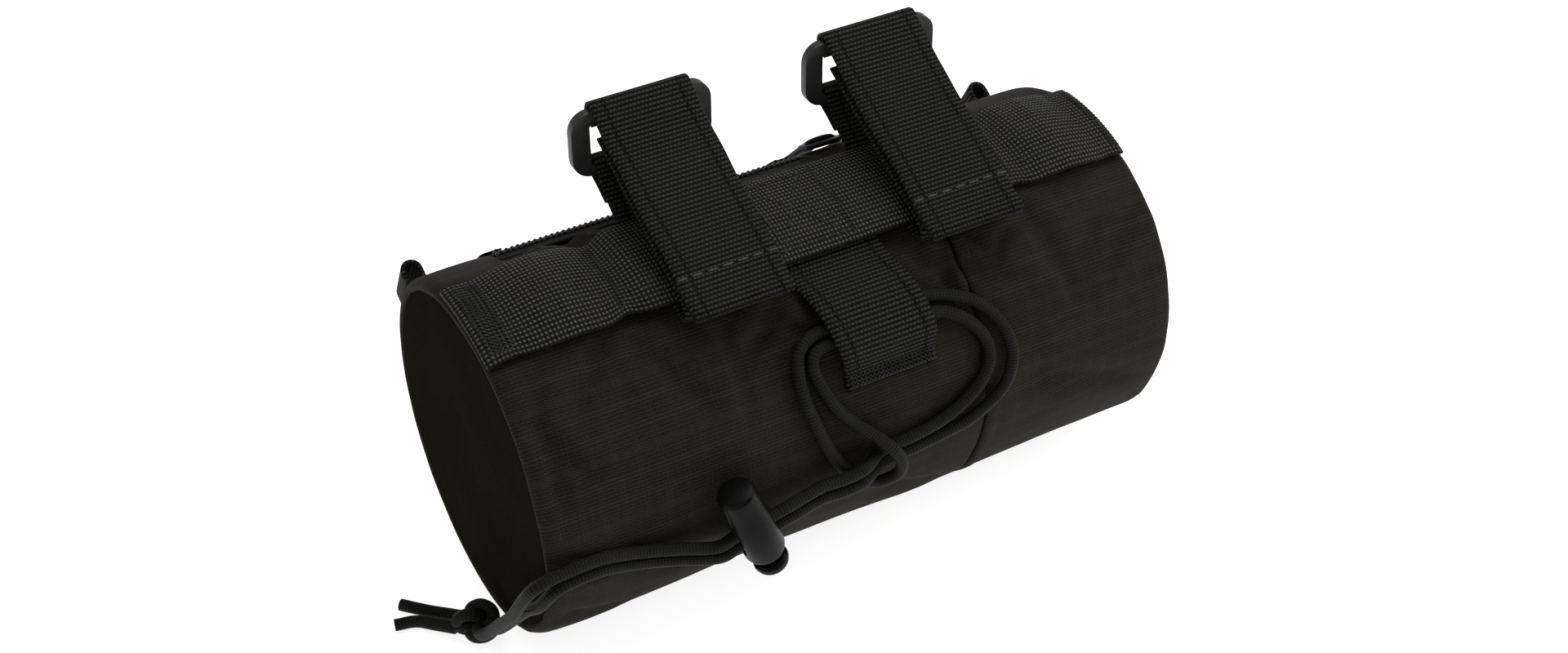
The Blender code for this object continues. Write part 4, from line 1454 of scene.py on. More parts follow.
# ---------------------------------------------------------------- the zip mouth
@dataclass
class Mouth:
    """Lip that opens, both zip tapes, the teeth, the slider and its puller."""

    barrel: Barrel
    lip_edge: float = 128.4
    fold_from: float = 199.0
    fold_to: float = 183.0
    binding_w: float = 0.0042

    def on_lip(self, item: Item) -> Item:
        """Bake a piece of the lip's placing into its mesh."""
        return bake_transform(item)

    def lip(self) -> list[Item]:
        """The lip in its three layers, with bound sides and topstitching."""
        low, high = MOUTH_X
        last = self.barrel.hinge_to - 0.3
        half = self.barrel.skin / 2
        cloth = patch("mouth_lip_cloth", low, high, self.lip_edge, last,
                      lambda x, d: BARREL_R - half + self.barrel.relief(x, d), self.barrel.skin, RIPSTOP)
        turn_uv(cloth)
        foam = patch("mouth_lip_padding", low, high, self.lip_edge, last,
                     lambda x, d: self.barrel.foam_r - self.barrel.foam_t / 2, self.barrel.foam_t,
                     FOAM, 0.003)
        lining = patch("mouth_lip_lining_cloth", low, high, self.lip_edge, last,
                       lambda x, d: self.barrel.lining_r - self.barrel.lining_t / 2, self.barrel.lining_t,
                       LINING, 0.003)
        for item, node in ((cloth, "mouth_lip"), (foam, "mouth_lip_foam"), (lining, "mouth_lip_lining")):
            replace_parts(self.on_lip(item), node)
        made = [cloth, foam, lining]
        for label, x in (("left", low), ("right", high - self.binding_w)):
            strip = patch("mouth_lip_binding_" + label, x, x + self.binding_w, self.lip_edge, last - 8.0,
                          lambda px, d: BARREL_R + 0.00030 + max(0.0, self.barrel.relief(px, d)),
                          0.0005, BINDING, 0.0007)
            line = [polar(x + 0.0032 - 0.0022 * (label == "right"), d, BARREL_R + 0.00062)
                    for d in np.arange(self.lip_edge + 2, last - 3, 1.5)]
            row = StitchRow.sew("mouth_lip_stitches_" + label, [line], DARK_THREAD, *SEAM_STITCH)
            made += [self.on_lip(strip), self.on_lip(row)]
        line = [polar(x, self.lip_edge + 2.2, BARREL_R + self.barrel.relief(x, self.lip_edge + 2.2) + 0.00005)
                for x in np.arange(low + 0.005, high - 0.005, 0.001)]
        row = StitchRow.sew("mouth_lip_edge_stitches", [line], DARK_THREAD, *SEAM_STITCH)
        return made + [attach(row, "mouth_lip")]

    def tapes(self) -> list[Item]:
        """Both tapes and both rows of teeth."""
        low, high = MOUTH_X
        made = []
        sides = (("fixed", "bag", 111.9, 117.2, 118.55), ("lip", "mouth_lip", 122.9, 128.2, 121.45))
        for label, body, start, stop, teeth in sides:
            tape = patch("zip_tape_" + label + "_cloth", low, high, start, stop,
                         lambda x, d: BARREL_R - 0.00065, 0.0006, TAPE, 0.002, 1.0)
            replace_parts(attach(tape, body), "zip_tape_" + label)
            lines = [[polar(x, teeth, BARREL_R - 0.0003) for x in (low + 0.0008, high - 0.0008)]]
            row = StitchRow.sew("zip_teeth_" + label, lines, TEETH, 0.00145, 0.00125, 0.0021, 0.0016,
                                math.radians(90 - teeth), 0.0)
            core = tube("zip_cord_" + label, [polar(x, teeth, BARREL_R - 0.0003) for x in
                                              np.linspace(low + 0.0004, high - 0.0004, 12)], 0.0005, 8)
            TAPE.dress(core)
            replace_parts(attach(row, body), "zip_coil_" + label)
            made += [tape, row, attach(core, body)]
        return made

    def slider(self) -> list[Item]:
        """Slider with its bridge, and the puller that hangs from it."""
        y, z = around(ZIP_MIDDLE, BARREL_R + 0.0005 + GAP)
        lean = math.radians(ZIP_MIDDLE - 90.0)
        seat = Matrix.Translation((MOUTH_X[1] + 0.0068, y, AXIS_Z + z)) @ Matrix.Rotation(-lean, 4, "X")
        shield = smooth_outline([(-0.0055, -0.0031), (0.0028, -0.0040), (0.0052, -0.0022),
                                 (0.0052, 0.0022), (0.0028, 0.0040), (-0.0055, 0.0031)], 0.0010)
        upper = plate("zip_slider_top", shield, (), 0.0012, 0.0004, seat @ Matrix.Translation((0, 0, 0.0009)))
        arch = [seat @ Vector(p) for p in ((-0.0042, 0, 0.0012), (-0.0036, 0, 0.0018), (-0.0015, 0, 0.0021),
                                           (0.0010, 0, 0.0021), (0.0028, 0, 0.0018), (0.0034, 0, 0.0012))]
        bridge = tube("zip_slider_bridge", smooth_path(arch, 0.0004), 0.0006, 10)
        lay = seat @ Matrix.Translation((0, 0, 0.0022)) @ Matrix.Rotation(math.radians(-16.0), 4, "X")
        blade = smooth_outline([(-0.0027, 0.0010), (0.0027, 0.0010), (0.0030, 0.0195), (0.0016, 0.0212),
                                (-0.0016, 0.0212), (-0.0030, 0.0195)], 0.0008)
        eye = [(0.0013 * math.cos(t), 0.0180 + 0.0013 * math.sin(t))
               for t in np.linspace(0, math.tau, 20)[:-1]]
        window = smooth_outline([(-0.0015, 0.0022), (0.0015, 0.0022), (0.0015, 0.0062), (-0.0015, 0.0062)],
                                0.0006)
        puller = plate("zip_puller_blade", blade, (eye, window), 0.0012, 0.0003, lay)
        for item in (upper, bridge, puller):
            SLIDER.dress(item)
        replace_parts(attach(upper, "zip_slider"), "zip_slider")
        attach(bridge, "zip_slider")
        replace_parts(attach(puller, "zip_puller"), "zip_puller")
        return [upper, bridge, puller]

    def build(self) -> list[Item]:
        """All pieces of the mouth."""
        return self.lip() + self.tapes() + self.slider()


def turn_uv(item: Item) -> None:
    """Swap the two directions of a piece's UV map."""
    layer = item.data.uv_layers["UVMap"]
    values = np.empty(len(layer.data) * 2, dtype=np.float32)
    layer.data.foreach_get("uv", values)
    layer.data.foreach_set("uv", values.reshape(-1, 2)[:, ::-1].copy().ravel())


def smooth_outline(corners: Sequence[Point2], radius: float, steps: int = 4) -> list[Point2]:
    """Closed outline with its corners rounded off.

    Args:
        corners: the corners in order.
        radius: how far before and after a corner the rounding starts.
        steps: points in each rounding.

    Returns:
        The outline's points.
    """
    made = []
    count = len(corners)
    for i, corner in enumerate(corners):
        at, before, after = Vector(corner), Vector(corners[i - 1]), Vector(corners[(i + 1) % count])
        a = at + (before - at).normalized() * min(radius, (before - at).length * 0.45)
        b = at + (after - at).normalized() * min(radius, (after - at).length * 0.45)
        for k in range(steps + 1):
            t = k / steps
            point = a * (1 - t) ** 2 + at * 2 * t * (1 - t) + b * t ** 2
            made.append((point.x, point.y))
    return made


# ---------------------------------------------------------------- webbing
@dataclass
class DaisyChain:
    """Webbing strip along the top, tacked down at its ends and beside the strap channels."""

    deg_from: float = 65.0
    deg_to: float = 99.0
    low: float = BARREL_R + GAP + 0.0002
    stations: tuple[Point2, ...] = (
        (-0.0846, -0.0011), (-0.0838, -0.0005), (-0.0825, 0.0), (-0.0765, 0.0), (-0.069, 0.0018),
        (-0.063, 0.0022), (-0.057, 0.0013), (-0.052, 0.0), (-0.049, 0.0), (-0.0445, 0.0018),
        (-0.030, 0.0019), (-0.011, 0.0018),
        (0.0, 0.0017), (0.012, 0.0018), (0.030, 0.0019), (0.049, 0.0018), (0.0525, 0.0),
        (0.056, 0.0), (0.061, 0.0018), (0.068, 0.0024), (0.0745, 0.0010), (0.0775, 0.0), (0.0825, 0.0),
        (0.0836, -0.0004), (0.0842, -0.0009))
    tacks: tuple[tuple[str, float, float], ...] = (
        ("left_end", -0.0832, -0.0775), ("left", -0.0512, -0.0500), ("middle", 0.0075, 0.0078),
        ("right", 0.0520, 0.0532), ("right_end", 0.0818, 0.0831))
    tack_pitch: float = 0.0012
    box: tuple[float, float, float, float] = (-0.0105, 0.10, 0.0050, 0.90)

    def height(self, x: float) -> float:
        """How far the strip stands off at a place along it."""
        xs = [s[0] for s in self.stations]
        hs = [s[1] for s in self.stations]
        return float(np.interp(x, xs, hs))

    def pinch(self, x: float) -> float:
        """Share of its width that the strip keeps at a place."""
        tight = 0.13 * gauss(x, -0.0505, 0.0035) + 0.10 * gauss(x, 0.0525, 0.0035)
        return 1.0 - tight - 0.05 * gauss(x, -0.0785, 0.0040) - 0.03 * gauss(x, 0.080, 0.004)

    def surface(self, x: float, share: float, lift: float = 0.0) -> Vector:
        """Point on the strip.

        Args:
            x: place along it.
            share: place across it, from 0 to 1.
            lift: distance above its middle surface.

        Returns:
            The point.
        """
        middle = (self.deg_from + self.deg_to) / 2
        deg = middle + (share - 0.5) * (self.deg_to - self.deg_from) * self.pinch(x)
        crown = self.height(x)
        if abs(x) > 0.05:
            crown *= 0.72 + 0.28 * math.sin(math.pi * share)
        wobble = 0.00014 * noise.noise(Vector((x * 90, share * 2.2, 4.0)))
        radius = self.low + WEBBING_T / 2 + crown + wobble * (abs(x) > 0.055)
        return polar(x, deg, radius + lift)

    def build(self) -> list[Item]:
        """The strip, its bar tacks and its boxed cross."""
        xs = np.arange(-0.0846, 0.08421, 0.0009)
        shares = np.linspace(0, 1, 17)
        grid = np.array([[self.surface(x, s) for s in shares] for x in xs])
        uv = np.array([[((s - 0.5) * WEBBING_W, x) for s in shares] for x in xs])
        strip = BASKET.dress(shell("daisy_chain_webbing", grid, uv, WEBBING_T))
        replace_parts(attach(strip, "bag"), "daisy_chain")
        top = WEBBING_T / 2 + 0.00008
        made = [strip]
        for label, low, high in self.tacks:
            runs = []
            for k in range(int((high - low) / self.tack_pitch) + 1):
                x = low + k * self.tack_pitch
                runs.append([self.surface(x + (0.0009 if i % 2 else -0.00015), s, top)
                             for i, s in enumerate(np.linspace(0.07, 0.93, 44))])
            made.append(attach(ThreadRun.sew("bar_tack_" + label, runs, BAR_THREAD), "bag"))
        left, near, right, far = self.box
        runs = []
        for line in ([(left, near), (right, near), (right, far), (left, far), (left, near)],
                     [(left, near), (right, far)], [(left, far), (right, near)]):
            for (xa, sa), (xb, sb) in zip(line, line[1:]):
                runs.append([self.surface(xa + (xb - xa) * t, sa + (sb - sa) * t, top)
                             for t in np.linspace(0, 1, 14)])
        cross = StitchRow.sew("boxed_cross_stitches", runs, BAR_THREAD, 0.0027, 0.0023, 0.0005, 0.0004)
        made.append(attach(cross, "bag"))
        return made


@dataclass
class MountStrap:
    """One mounting strap: webbing loop, ring, tail with its stitching, and both pile patches."""

    number: int
    x: float
    ring_yz: Point2 = (0.0205, 0.0616)
    ring_size: tuple[float, float, float] = (0.036, 0.017, 0.0024)
    ring_bar: float = 0.0028
    ring_end: float = 0.0047
    near_line: tuple[Point2, Point2] = ((-0.0205, 0.0455), (0.0170, 0.0643))
    stack: float = 0.0030
    patch_t: float = 0.0005
    patch_w: float = 0.021

    def wrap(self, bar: Point2, angles: Sequence[int], radius: float = 0.0027) -> list[Point2]:
        """Points of webbing wrapped round a ring's bar."""
        return [(bar[0] + radius * math.cos(math.radians(a)), bar[1] + radius * math.sin(math.radians(a)))
                for a in angles]

    def loop_route(self) -> list[Point2]:
        """Middle line of the strap: ring's lower bar, far side, base and near side."""
        y, z = self.ring_yz
        fold = self.wrap((y, z - self.ring_size[1] / 2 + self.ring_bar / 2), range(-50, 190, 24))
        base = [around(d, BARREL_R + GAP + WEBBING_T / 2) for d in (100, 92, 84, 76, 68, 63)]
        far = [(0.0146, 0.0484), (0.0184, 0.0506)] + fold + [(0.0150, 0.0510), (0.0118, 0.0482)]
        near = [(-0.0233, 0.0396), (-0.0250, 0.0414), (-0.0240, 0.0436)]
        return far + [(0.0092, 0.0464)] + base + near + list(self.near_line)

    def near_point(self, y: float) -> Point2:
        """Point at a depth on the straight near side of the strap."""
        (ya, za), (yb, zb) = self.near_line
        return (y, za + (y - ya) * (zb - za) / (yb - ya))

    def beside(self, y_from: float, y_to: float, distance: float) -> list[Point2]:
        """Straight line beside the near side, some distance off it."""
        a, b = Vector(self.near_point(y_from)), Vector(self.near_point(y_to))
        normal = Vector((-(b - a).y, (b - a).x)).normalized() * distance
        return [tuple(a + normal), tuple(b + normal)]

    def tail_route(self) -> list[Point2]:
        """Middle line of the tail: round the upper bar, then down over the strap."""
        y, z = self.ring_yz
        outer = self.beside(-0.0280, 0.0120, self.stack)
        upper = (y, z + self.ring_size[1] / 2 - self.ring_bar / 2)
        a, b = Vector(outer[1]), Vector(outer[0])
        run = [tuple(a.lerp(b, t)) for t in (0.0, 0.2, 0.4, 0.6, 0.8, 1.0)]
        return self.wrap(upper, range(-95, 116, 21)) + run

    def hem_route(self) -> list[Point2]:
        """Middle line of the tail's end, turned under and back to the stitch row."""
        under = self.beside(-0.0272, -0.0190, self.stack - WEBBING_T - 0.00006)
        end = self.beside(-0.0286, -0.0190, self.stack - WEBBING_T / 2)
        tip = self.beside(-0.0280, -0.0190, self.stack)
        return [tip[0], end[0], under[0], under[1]]

    def soften(self, share: float, along: float, place: Vector) -> Vector:
        """Slight waviness of a long free side."""
        place.x += 0.00018 * math.sin(along * 260 + self.number)
        return place

    def tail(self) -> list[Item]:
        """Tail with its turned end and stitch row."""
        name = f"strap_{self.number}_tail"
        route = self.tail_route()
        webbing = band(name + "_webbing", route, self.x, WEBBING_W, WEBBING_T, *WEBBING_GRID, self.soften)
        RIBBED.dress(webbing)
        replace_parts(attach(webbing, f"tail_{self.number}"), name)
        a, b = Vector(route[-1]), Vector(route[-6])
        up = Vector((-(a - b).y, (a - b).x)).normalized()
        if up.y < 0:
            up = -up
        at = a + (b - a).normalized() * 0.0092 + up * (WEBBING_T / 2 + 0.00005)
        line = [Vector((self.x + s * (WEBBING_W - 0.0022), at.x, AXIS_Z + at.y))
                for s in np.linspace(-0.5, 0.5, 30)]
        row = StitchRow.sew(name + "_stitches", [line], THREAD, 0.0036, 0.0031, 0.00062, 0.00045)
        hem = band(name + "_hem", self.hem_route(), self.x, WEBBING_W - 0.0003, WEBBING_T, 9, 0.0005)
        RIBBED.dress(hem)
        for item in (row, hem):
            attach(item, f"tail_{self.number}")
        return [webbing, row, hem]

    def patches(self) -> list[Item]:
        """Loop patch on the strap and hook patch on the tail."""
        near = (WEBBING_T + self.patch_t) / 2 + GAP
        prefix = f"strap_{self.number}_"
        loop = band(prefix + "loop_pile", self.beside(-0.0160, 0.0100, near), self.x, self.patch_w,
                    self.patch_t, 5, 0.002)
        hook = band(prefix + "hook_pile", self.beside(-0.0180, 0.0050, self.stack - near), self.x,
                    self.patch_w, self.patch_t, 5, 0.002)
        for item, node, body in ((loop, "loop_patch", "bag"), (hook, "hook_patch", f"tail_{self.number}")):
            FUZZ.dress(item)
            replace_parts(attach(item, body), prefix + node)
        return [loop, hook]

    def ring(self) -> Item:
        """Moulded ring with rounded bars."""
        width, height, thick = self.ring_size
        y, z = self.ring_yz
        place = Matrix.Translation((self.x, y, AXIS_Z + z)) @ Matrix.Rotation(math.radians(90), 4, "X")
        slot = rounded(width - 2 * self.ring_end, height - 2 * self.ring_bar, 0.0012, 4)
        item = ring_plate(f"strap_{self.number}_ring_moulded", rounded(width, height, 0.0050, 8), slot,
                          thick, 0.0009, place)
        RING.dress(item)
        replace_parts(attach(item, f"ring_{self.number}"), f"strap_{self.number}_ring")
        return item

    def build(self) -> list[Item]:
        """All pieces of the strap."""
        name = f"strap_{self.number}_webbing"
        webbing = band(name + "_cloth", self.loop_route(), self.x, WEBBING_W, WEBBING_T, *WEBBING_GRID)
        RIBBED.dress(webbing)
        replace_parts(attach(webbing, "bag"), name)
        return [webbing, *self.tail(), *self.patches(), self.ring()]


def ring_plate(name: str, outline: Sequence[Point2], hole: Sequence[Point2], thickness: float,
               bevel: float, place: Matrix) -> Item:
    """Flat ring with generously rounded edges.

    Args:
        name: the piece's name.
        outline: its outer outline.
        hole: its opening.
        thickness: its thickness.
        bevel: radius of its edges.
        place: where it goes.

    Returns:
        The new object.
    """
    flat = flat_solid(name, (outline, hole), thickness / 2)
    weld(flat.data, 1e-6)
    rounding = flat.modifiers.new("rounding", "BEVEL")
    rounding.width = bevel
    rounding.segments = 4
    rounding.angle_limit = math.radians(50)
    made = applied(flat)
    made.data.transform(place)
    return smooth_to(made, ROUND_EDGE)


@dataclass
class CordTab:
    """Webbing tab that arches over the cord, sewn down at both ends."""

    middle: float = 0.0015

    def route(self) -> list[Point2]:
        """Middle line around the barrel."""
        flat = BARREL_R + GAP + WEBBING_T / 2
        places = ((78, 0), (66, 0), (60, 0.0001), (55, 0.0013), (51, 0.0028), (47, 0.0036), (41, 0.0039),
                  (36, 0.0036), (33, 0.0026), (30, 0.0010), (28, 0), (24, 0))
        return [around(deg, flat + rise) for deg, rise in places]

    def shape(self, share: float, along: float, place: Vector) -> Vector:
        """Lean of the tab and its slight narrowing at the lower tack."""
        place.x += -0.0012 + 0.0042 * step_up(along, 0.008, 0.042)
        place.x += (0.5 - share) * 0.0012 * step_up(along, 0.034, 0.042)
        return place

    def build(self) -> list[Item]:
        """The tab and its lower bar tack."""
        tab = band("cord_tab_webbing", self.route(), self.middle, WEBBING_W, WEBBING_T, *WEBBING_GRID,
                   self.shape)
        RIBBED.dress(tab)
        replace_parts(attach(tab, "bag"), "cord_tab")
        runs = []
        top = BARREL_R + GAP + WEBBING_T + 0.0001
        for k in range(4):
            deg = 24.9 + k * 1.25
            runs.append([polar(self.middle + 0.0030 + s * 0.0225, deg + (0.9 if i % 2 else -0.1), top)
                         for i, s in enumerate(np.linspace(-0.5, 0.5, 40))])
        tack = ThreadRun.sew("bar_tack_tab", runs, BAR_THREAD)
        return [tab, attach(tack, "bag")]


@dataclass
class EndLoop:
    """Small folded webbing loop standing out of an end seam."""

    side: int
    width: float = 0.012
    reach: float = 0.0045
    rise: float = 0.0021

    def build(self) -> Item:
        """The loop."""
        label = "left" if self.side < 0 else "right"
        rise, foot = self.rise, self.reach - self.rise
        fold = [(rise * math.sin(math.radians(a)), foot + rise * math.cos(math.radians(a)))
                for a in range(90, -91, -30)]
        route = [(self.rise, 0.0), (self.rise, self.reach * 0.4)] + fold
        route += [(-self.rise, self.reach * 0.4), (-self.rise, 0.0)]
        item = band("end_loop_" + label + "_webbing", route, 0.0, self.width, WEBBING_T, 9, 0.0005)
        item.data.transform(Matrix.Translation((0.0, 0.0, -AXIS_Z)))
        y, z = around(151.0, BARREL_R + 0.0012)
        outward = Vector((0.0, y, z)).normalized()
        across = Vector((self.side, 0.0, 0.0))
        turn = Matrix((across.cross(outward), across, outward)).transposed()
        item.data.transform(Matrix.Translation((self.side * (END_X - 0.0045), y, AXIS_Z + z)) @ turn.to_4x4())
        RIBBED.dress(item)
        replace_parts(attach(item, "bag"), "end_loop_" + label)
        return item


# ---------------------------------------------------------------- shock cord and its lock
def axes_at(degrees: float) -> tuple[Vector, Vector]:
    """Directions along and across the strands, turned in the plane of the barrel's front."""
    tilt = math.radians(degrees)
    return (Vector((math.cos(tilt), 0.0, math.sin(tilt))), Vector((-math.sin(tilt), 0.0, math.cos(tilt))))


@dataclass
class ShockCord:
    """Bight round the tab, both strands through it to the knot, and the two cut ends."""

    lane: float = 0.00175
    step: float = 0.0012
    lock_at: Vector = LOCK_AT
    knot_at: Vector = Vector((-0.0922, -0.0130, AXIS_Z - 0.0382))
    knot_half: Vector = Vector((0.0060, 0.0068, 0.0045))

    def bight_route(self) -> list[Vector]:
        """Both legs of the bight, out of the tab and back."""
        outer = ((0.0010, 43.6, 0), (-0.0060, 43.6, 0), (-0.0125, 43.2, 0), (-0.0172, 40.0, 0),
                 (-0.0190, 33.5, 0), (-0.0189, 26.0, 0), (-0.0172, 17.0, 0), (-0.0146, 8.0, 0),
                 (-0.0113, 0.5, 0), (-0.0072, -5.8, 0), (-0.0024, -9.0, 0.0012))
        inner = ((0.0020, -6.2, 0.0028), (0.0024, -1.5, 0.0036), (0.0004, 3.8, 0.0034),
                 (-0.0032, 8.6, 0.0014), (-0.0078, 14.5, 0), (-0.0120, 21.5, 0), (-0.0142, 28.5, 0),
                 (-0.0151, 34.5, 0), (-0.0126, 38.8, 0), (-0.0060, 39.2, 0), (0.0010, 39.2, 0))
        return [polar(x, deg, CORD_LAY + rise) for x, deg, rise in outer + inner]

    def strand_route(self, lane: int) -> list[Vector]:
        """Route of one strand, out of the tab, through the bight and lock, down to the knot.

        Args:
            lane: -1 for the lower strand, 1 for the upper.

        Returns:
            The route's points.
        """
        if lane < 0:
            start = ((0.0016, 43.6), (0.0080, 43.6), (0.0150, 43.4), (0.0225, 41.5), (0.0300, 36.0),
                     (0.0350, 27.0), (0.0362, 17.0), (0.0330, 8.0), (0.0250, 1.5), (0.0160, -1.0),
                     (0.0070, -2.2), (-0.0010, -2.9))
        else:
            start = ((0.0016, 39.2), (0.0080, 39.2), (0.0150, 38.8), (0.0215, 36.5), (0.0270, 31.0),
                     (0.0300, 23.5), (0.0290, 16.0), (0.0240, 9.5), (0.0160, 4.6), (0.0080, 2.6),
                     (-0.0010, 1.6))
        aim, up = axes_at(12.0)
        shift = 2.2 * lane
        over = ((-0.0075, -0.8 + shift, 0.0034), (-0.0130, -1.6 + shift, 0.0035),
                (-0.0190, -1.8 + shift, 0.0030))
        through = [self.lock_at + aim * step + up * self.lane * lane
                   for step in (0.0100, 0.0050, 0.0, -0.0050, -0.0100)]
        run = ((-0.0550, -6.4 + shift, 0.0014), (-0.0640, -3.6 + shift, 0), (-0.0730, -0.6 + shift, 0),
               (-0.0815, 0.0 + shift, 0.0004))
        side = 0.0018 * lane
        drop = [Vector((-0.0872 - side, -0.0462, AXIS_Z - 0.0012 + side)),
                Vector((-0.0895 - side, -0.0432, AXIS_Z - 0.0068 + side)),
                Vector((-0.0903 - side, -0.0375, AXIS_Z - 0.0145)),
                Vector((-0.0908 - side, -0.0310, AXIS_Z - 0.0225)),
                Vector((-0.0914 - side, -0.0250, AXIS_Z - 0.0300)),
                self.knot_at + Vector((-side * 1.05, -self.knot_half.y * 0.86 - 0.0014, 0.0030)),
                self.knot_at + Vector((-side * 0.8, -self.knot_half.y * 0.55, 0.0018))]
        return ([polar(x, deg) for x, deg in start]
                + [polar(x, deg, CORD_LAY + rise) for x, deg, rise in over]
                + through + [polar(x, deg, CORD_LAY + rise) for x, deg, rise in run] + drop)

    def end_route(self, lane: int) -> list[Vector]:
        """Route of a cut end beyond the knot."""
        ground = CORD_R + 0.0001
        side = 0.0019 * lane
        start = self.knot_at + Vector((-0.0050 + side, 0.0058 + side * 0.5, 0.0))
        return [Vector((start.x + 0.0020, start.y - 0.0026, ground + 0.0012)),
                Vector((start.x - 0.0012, start.y + 0.0012, ground + 0.0005)),
                Vector((start.x - 0.0050, start.y + 0.0052, ground)),
                Vector((start.x - 0.0100, start.y + 0.0085 + side, ground))]

    def knot(self) -> Item:
        """Overhand knot drawn tight, as one length of cord wound through itself."""
        aim = Vector((-0.35, -0.80, 0.48)).normalized()
        side = aim.cross(Vector((0, 0, 1))).normalized()
        up = side.cross(aim)
        points = []
        for i in range(120):
            t = math.tau * i / 120
            reach = 2.05 + math.cos(3 * t)
            flat = side * (reach * math.cos(2 * t) * 0.00160) + up * (reach * math.sin(2 * t) * 0.00128)
            points.append(self.knot_at + flat + aim * (math.sin(3 * t) * 0.00190))
        for point in points:
            point.z = max(point.z, CORD_R + 0.0002)
        return SHEATH.dress(tube("cord_knot_sheath", points, CORD_R * 1.04, CORD_SIDES, closed=True))

    def build(self, on_lock: Sequence[Item]) -> list[Item]:
        """All lengths of cord.

        Args:
            on_lock: the pieces of the cord lock; not used.

        Returns:
            The pieces.
        """
        bight = smooth_path(self.bight_route(), self.step)
        piece = SHEATH.dress(tube("cord_bight_sheath", bight, CORD_R, CORD_SIDES))
        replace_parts(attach(piece, "bag"), "cord_bight")
        knot = self.knot()
        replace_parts(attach(knot, "bag"), "cord_knot")
        made = [piece, knot]
        for label, lane in (("lower", -1), ("upper", 1)):
            tip = smooth_path(self.end_route(lane), 0.0010)
            end = SHEATH.dress(tube("cord_end_" + label + "_sheath", tip, CORD_R, CORD_SIDES))
            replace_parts(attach(end, "bag"), "cord_end_" + label)
            route = smooth_path(self.strand_route(lane), self.step)
            strand = SHEATH.dress(tube("cord_strand_" + label + "_sheath", route, CORD_R, CORD_SIDES))
            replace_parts(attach(strand, "bag"), "cord_strand_" + label)
            made += [strand, end]
        return made


@dataclass
class CordLock:
    """Moulded cord lock: barrel with its cross slot, and the plunger with its cap."""

    at: Vector = LOCK_AT
    tilt: float = 20.0
    radius: float = 0.0050
    top: float = 0.0155
    bottom: float = -0.0075

    def slotted(self, item: Item, height: float, middle: float, seat: Matrix) -> Item:
        """Cut the cord's slot through a turned piece.

        Args:
            item: the turned piece.
            height: the slot's height.
            middle: its middle along the lock.
            seat: the lock's own place.

        Returns:
            The cut piece.
        """
        turn = Matrix(((0, 0, 1, 0), (0, 1, 0, 0), (-1, 0, 0, middle), (0, 0, 0, 1)))
        cutter = flat_solid("slot", [rounded(height, 0.0036, 0.0012, 4)], 0.015)
        weld(cutter.data, 1e-6, seat @ turn)
        cut = item.modifiers.new("slot", "BOOLEAN")
        cut.operation = "DIFFERENCE"
        cut.object = cutter
        cut.solver = "EXACT"
        bpy.context.view_layer.update()
        made = applied(item)
        bpy.data.objects.remove(cutter)
        return smooth_to(made, SLOT_EDGE)

    def build(self) -> list[Item]:
        """The lock's barrel and plunger; the spring keeps its own shape."""
        aim, up = axes_at(self.tilt)
        turn = Matrix((aim, up.cross(aim), up)).transposed()
        seat = Matrix.Translation(self.at) @ turn.to_4x4()
        r, top, low = self.radius, self.top, self.bottom
        bore, roof = 0.0034, top - 0.0018
        outer = [(0.0, top), (r - 0.0017, top), (r - 0.0009, top - 0.0003), (r - 0.0005, top - 0.0010),
                 (r - 0.00035, top - 0.0030), (r - 0.0002, 0.0062), (r, 0.0054), (r, low + 0.0016),
                 (r - 0.0003, low + 0.0006), (r - 0.0009, low)]
        inner = [(bore, low), (bore, roof), (0.0, roof)]
        barrel = lathe("lock_barrel_moulded", outer + inner, 72, seat, MOULDED_EDGE)
        plunger = lathe("lock_plunger_moulded", [
            (0.0, 0.0054), (0.0031, 0.0054), (0.0031, -0.0068), (0.0023, -0.0076), (0.0023, -0.0096),
            (0.0036, -0.0099), (0.0042, -0.0105), (0.0043, -0.0113), (0.0040, -0.0123), (0.0032, -0.0131),
            (0.0018, -0.0136), (0.0, -0.0138)], 72, seat, MOULDED_EDGE)
        barrel = self.slotted(barrel, 0.0081, 0.0, seat)
        plunger = self.slotted(plunger, 0.0098, -0.0011, seat)
        LOCK.dress(barrel)
        LOCK.dress(plunger)
        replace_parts(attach(barrel, "cord_lock"), "lock_barrel")
        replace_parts(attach(plunger, "lock_plunger"), "lock_plunger")
        return [barrel, plunger]


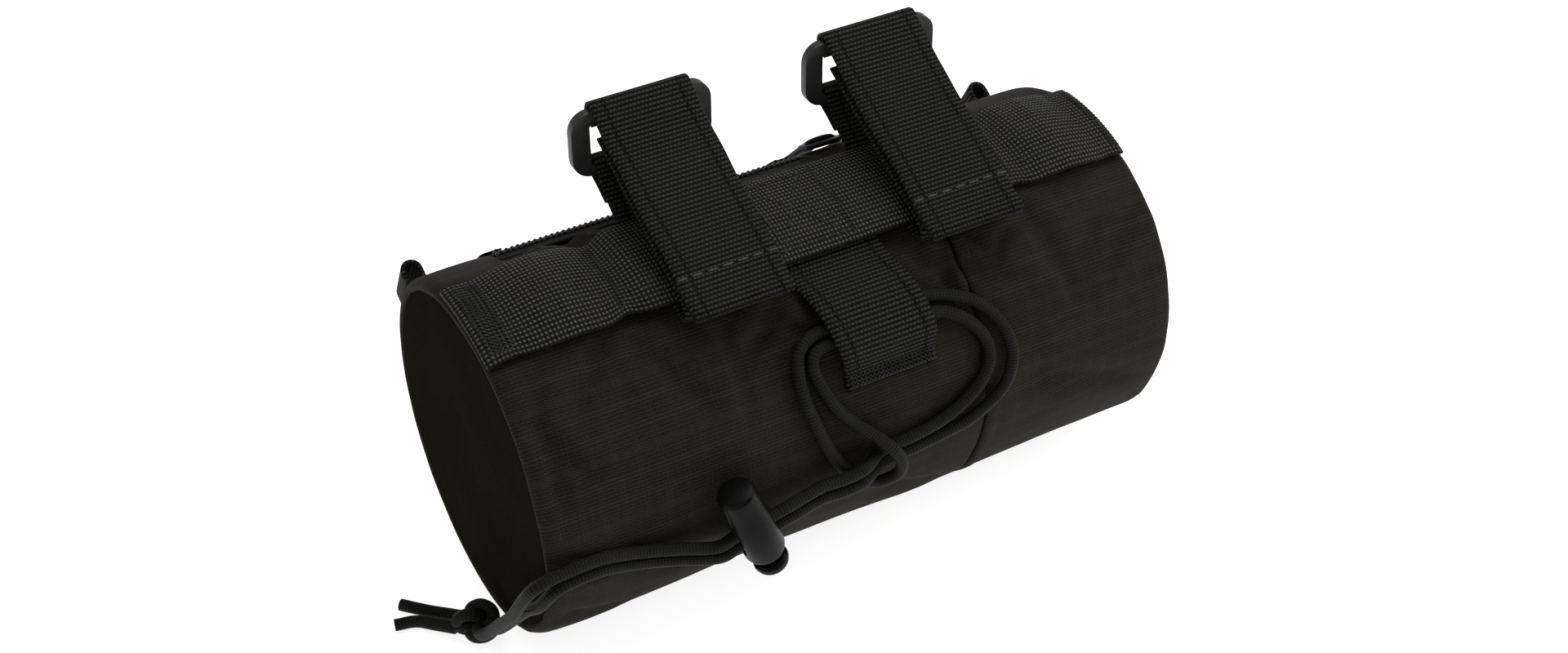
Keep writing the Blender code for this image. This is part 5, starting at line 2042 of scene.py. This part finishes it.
# ---------------------------------------------------------------- studio
@dataclass
class Studio:
    """Camera, soft lights and the pale floor."""

    eye: Vector = Vector((-0.20467, -0.35699, 0.33128 + AXIS_Z))
    aim: Vector = Vector((0.38879655, 0.68147777, -0.62002039))
    lens: float = 48.99
    sky: float = 0.42
    floor_z: float = -0.0001
    target: Vector = Vector((0, 0, 0.05))
    lamps: tuple[tuple[str, tuple[float, float, float], float, float], ...] = (
        ("top_softbox", (0.25, 0.25, 1.1), 0.8, 7.5), ("right_softbox", (0.95, -0.45, 0.55), 0.7, 4.5))

    def camera(self) -> None:
        """Camera on the object from its left front, looking down."""
        forward = self.aim.normalized()
        right = forward.cross(Vector((0, 0, 1))).normalized()
        up = right.cross(forward)
        data = bpy.data.cameras.new("studio_camera")
        data.sensor_width = 36.0
        data.lens = self.lens
        data.clip_start = 0.01
        camera = linked("studio_camera", data)
        turn = Matrix((right, up, -forward)).transposed()
        camera.matrix_world = Matrix.Translation(self.eye) @ turn.to_4x4()
        bpy.context.scene.camera = camera

    def lamp(self, name: str, place: Sequence[float], size: float, power: float) -> None:
        """Soft square lamp aimed at the object.

        Args:
            name: its name.
            place: where it hangs.
            size: its side, in metres.
            power: its power, in watts.
        """
        data = bpy.data.lights.new(name, "AREA")
        data.shape = "SQUARE"
        data.size = size
        data.energy = power
        lamp = linked(name, data)
        lamp.location = place
        lamp.rotation_euler = (self.target - Vector(place)).to_track_quat("-Z", "Y").to_euler()

    def build(self) -> None:
        """Lights, sky and floor."""
        world = bpy.data.worlds.new("soft_sky")
        world.use_nodes = True
        sky = world.node_tree.nodes["Background"]
        sky.inputs["Color"].default_value = (1.0, 1.0, 1.0, 1.0)
        sky.inputs["Strength"].default_value = self.sky
        bpy.context.scene.world = world
        bpy.context.scene.view_settings.view_transform = "Standard"
        for lamp in self.lamps:
            self.lamp(*lamp)
        body = bmesh.new()
        bmesh.ops.create_grid(body, x_segments=4, y_segments=4, size=4.0)
        body.transform(Matrix.Translation((0.0, 0.0, self.floor_z)))
        mesh = bpy.data.meshes.new("floor")
        body.to_mesh(mesh)
        body.free()
        floor = link_mesh("floor", mesh)
        floor.data.materials.append(PAPER.material())


def main() -> None:
    """Build the studio and every sub-assembly, and report each piece."""
    studio = Studio()
    studio.camera()
    lock = CordLock().build()
    pieces = lock + ShockCord().build(lock)
    barrel = Barrel()
    pieces += barrel.build()
    pieces += Mouth(barrel).build()
    pieces += DaisyChain().build()
    for number, x in enumerate(STRAP_X, start=1):
        pieces += MountStrap(number, x).build()
    pieces += CordTab().build()
    pieces += [EndLoop(-1).build(), EndLoop(1).build()]
    SPRING.dress(bpy.data.objects["lock_spring"])
    studio.build()
    for piece in pieces:
        LOG.info("%s: %d faces", piece.name, len(piece.data.polygons))


if __name__ == "__main__":
    logging.basicConfig(level=logging.INFO, format="%(message)s")
    main()
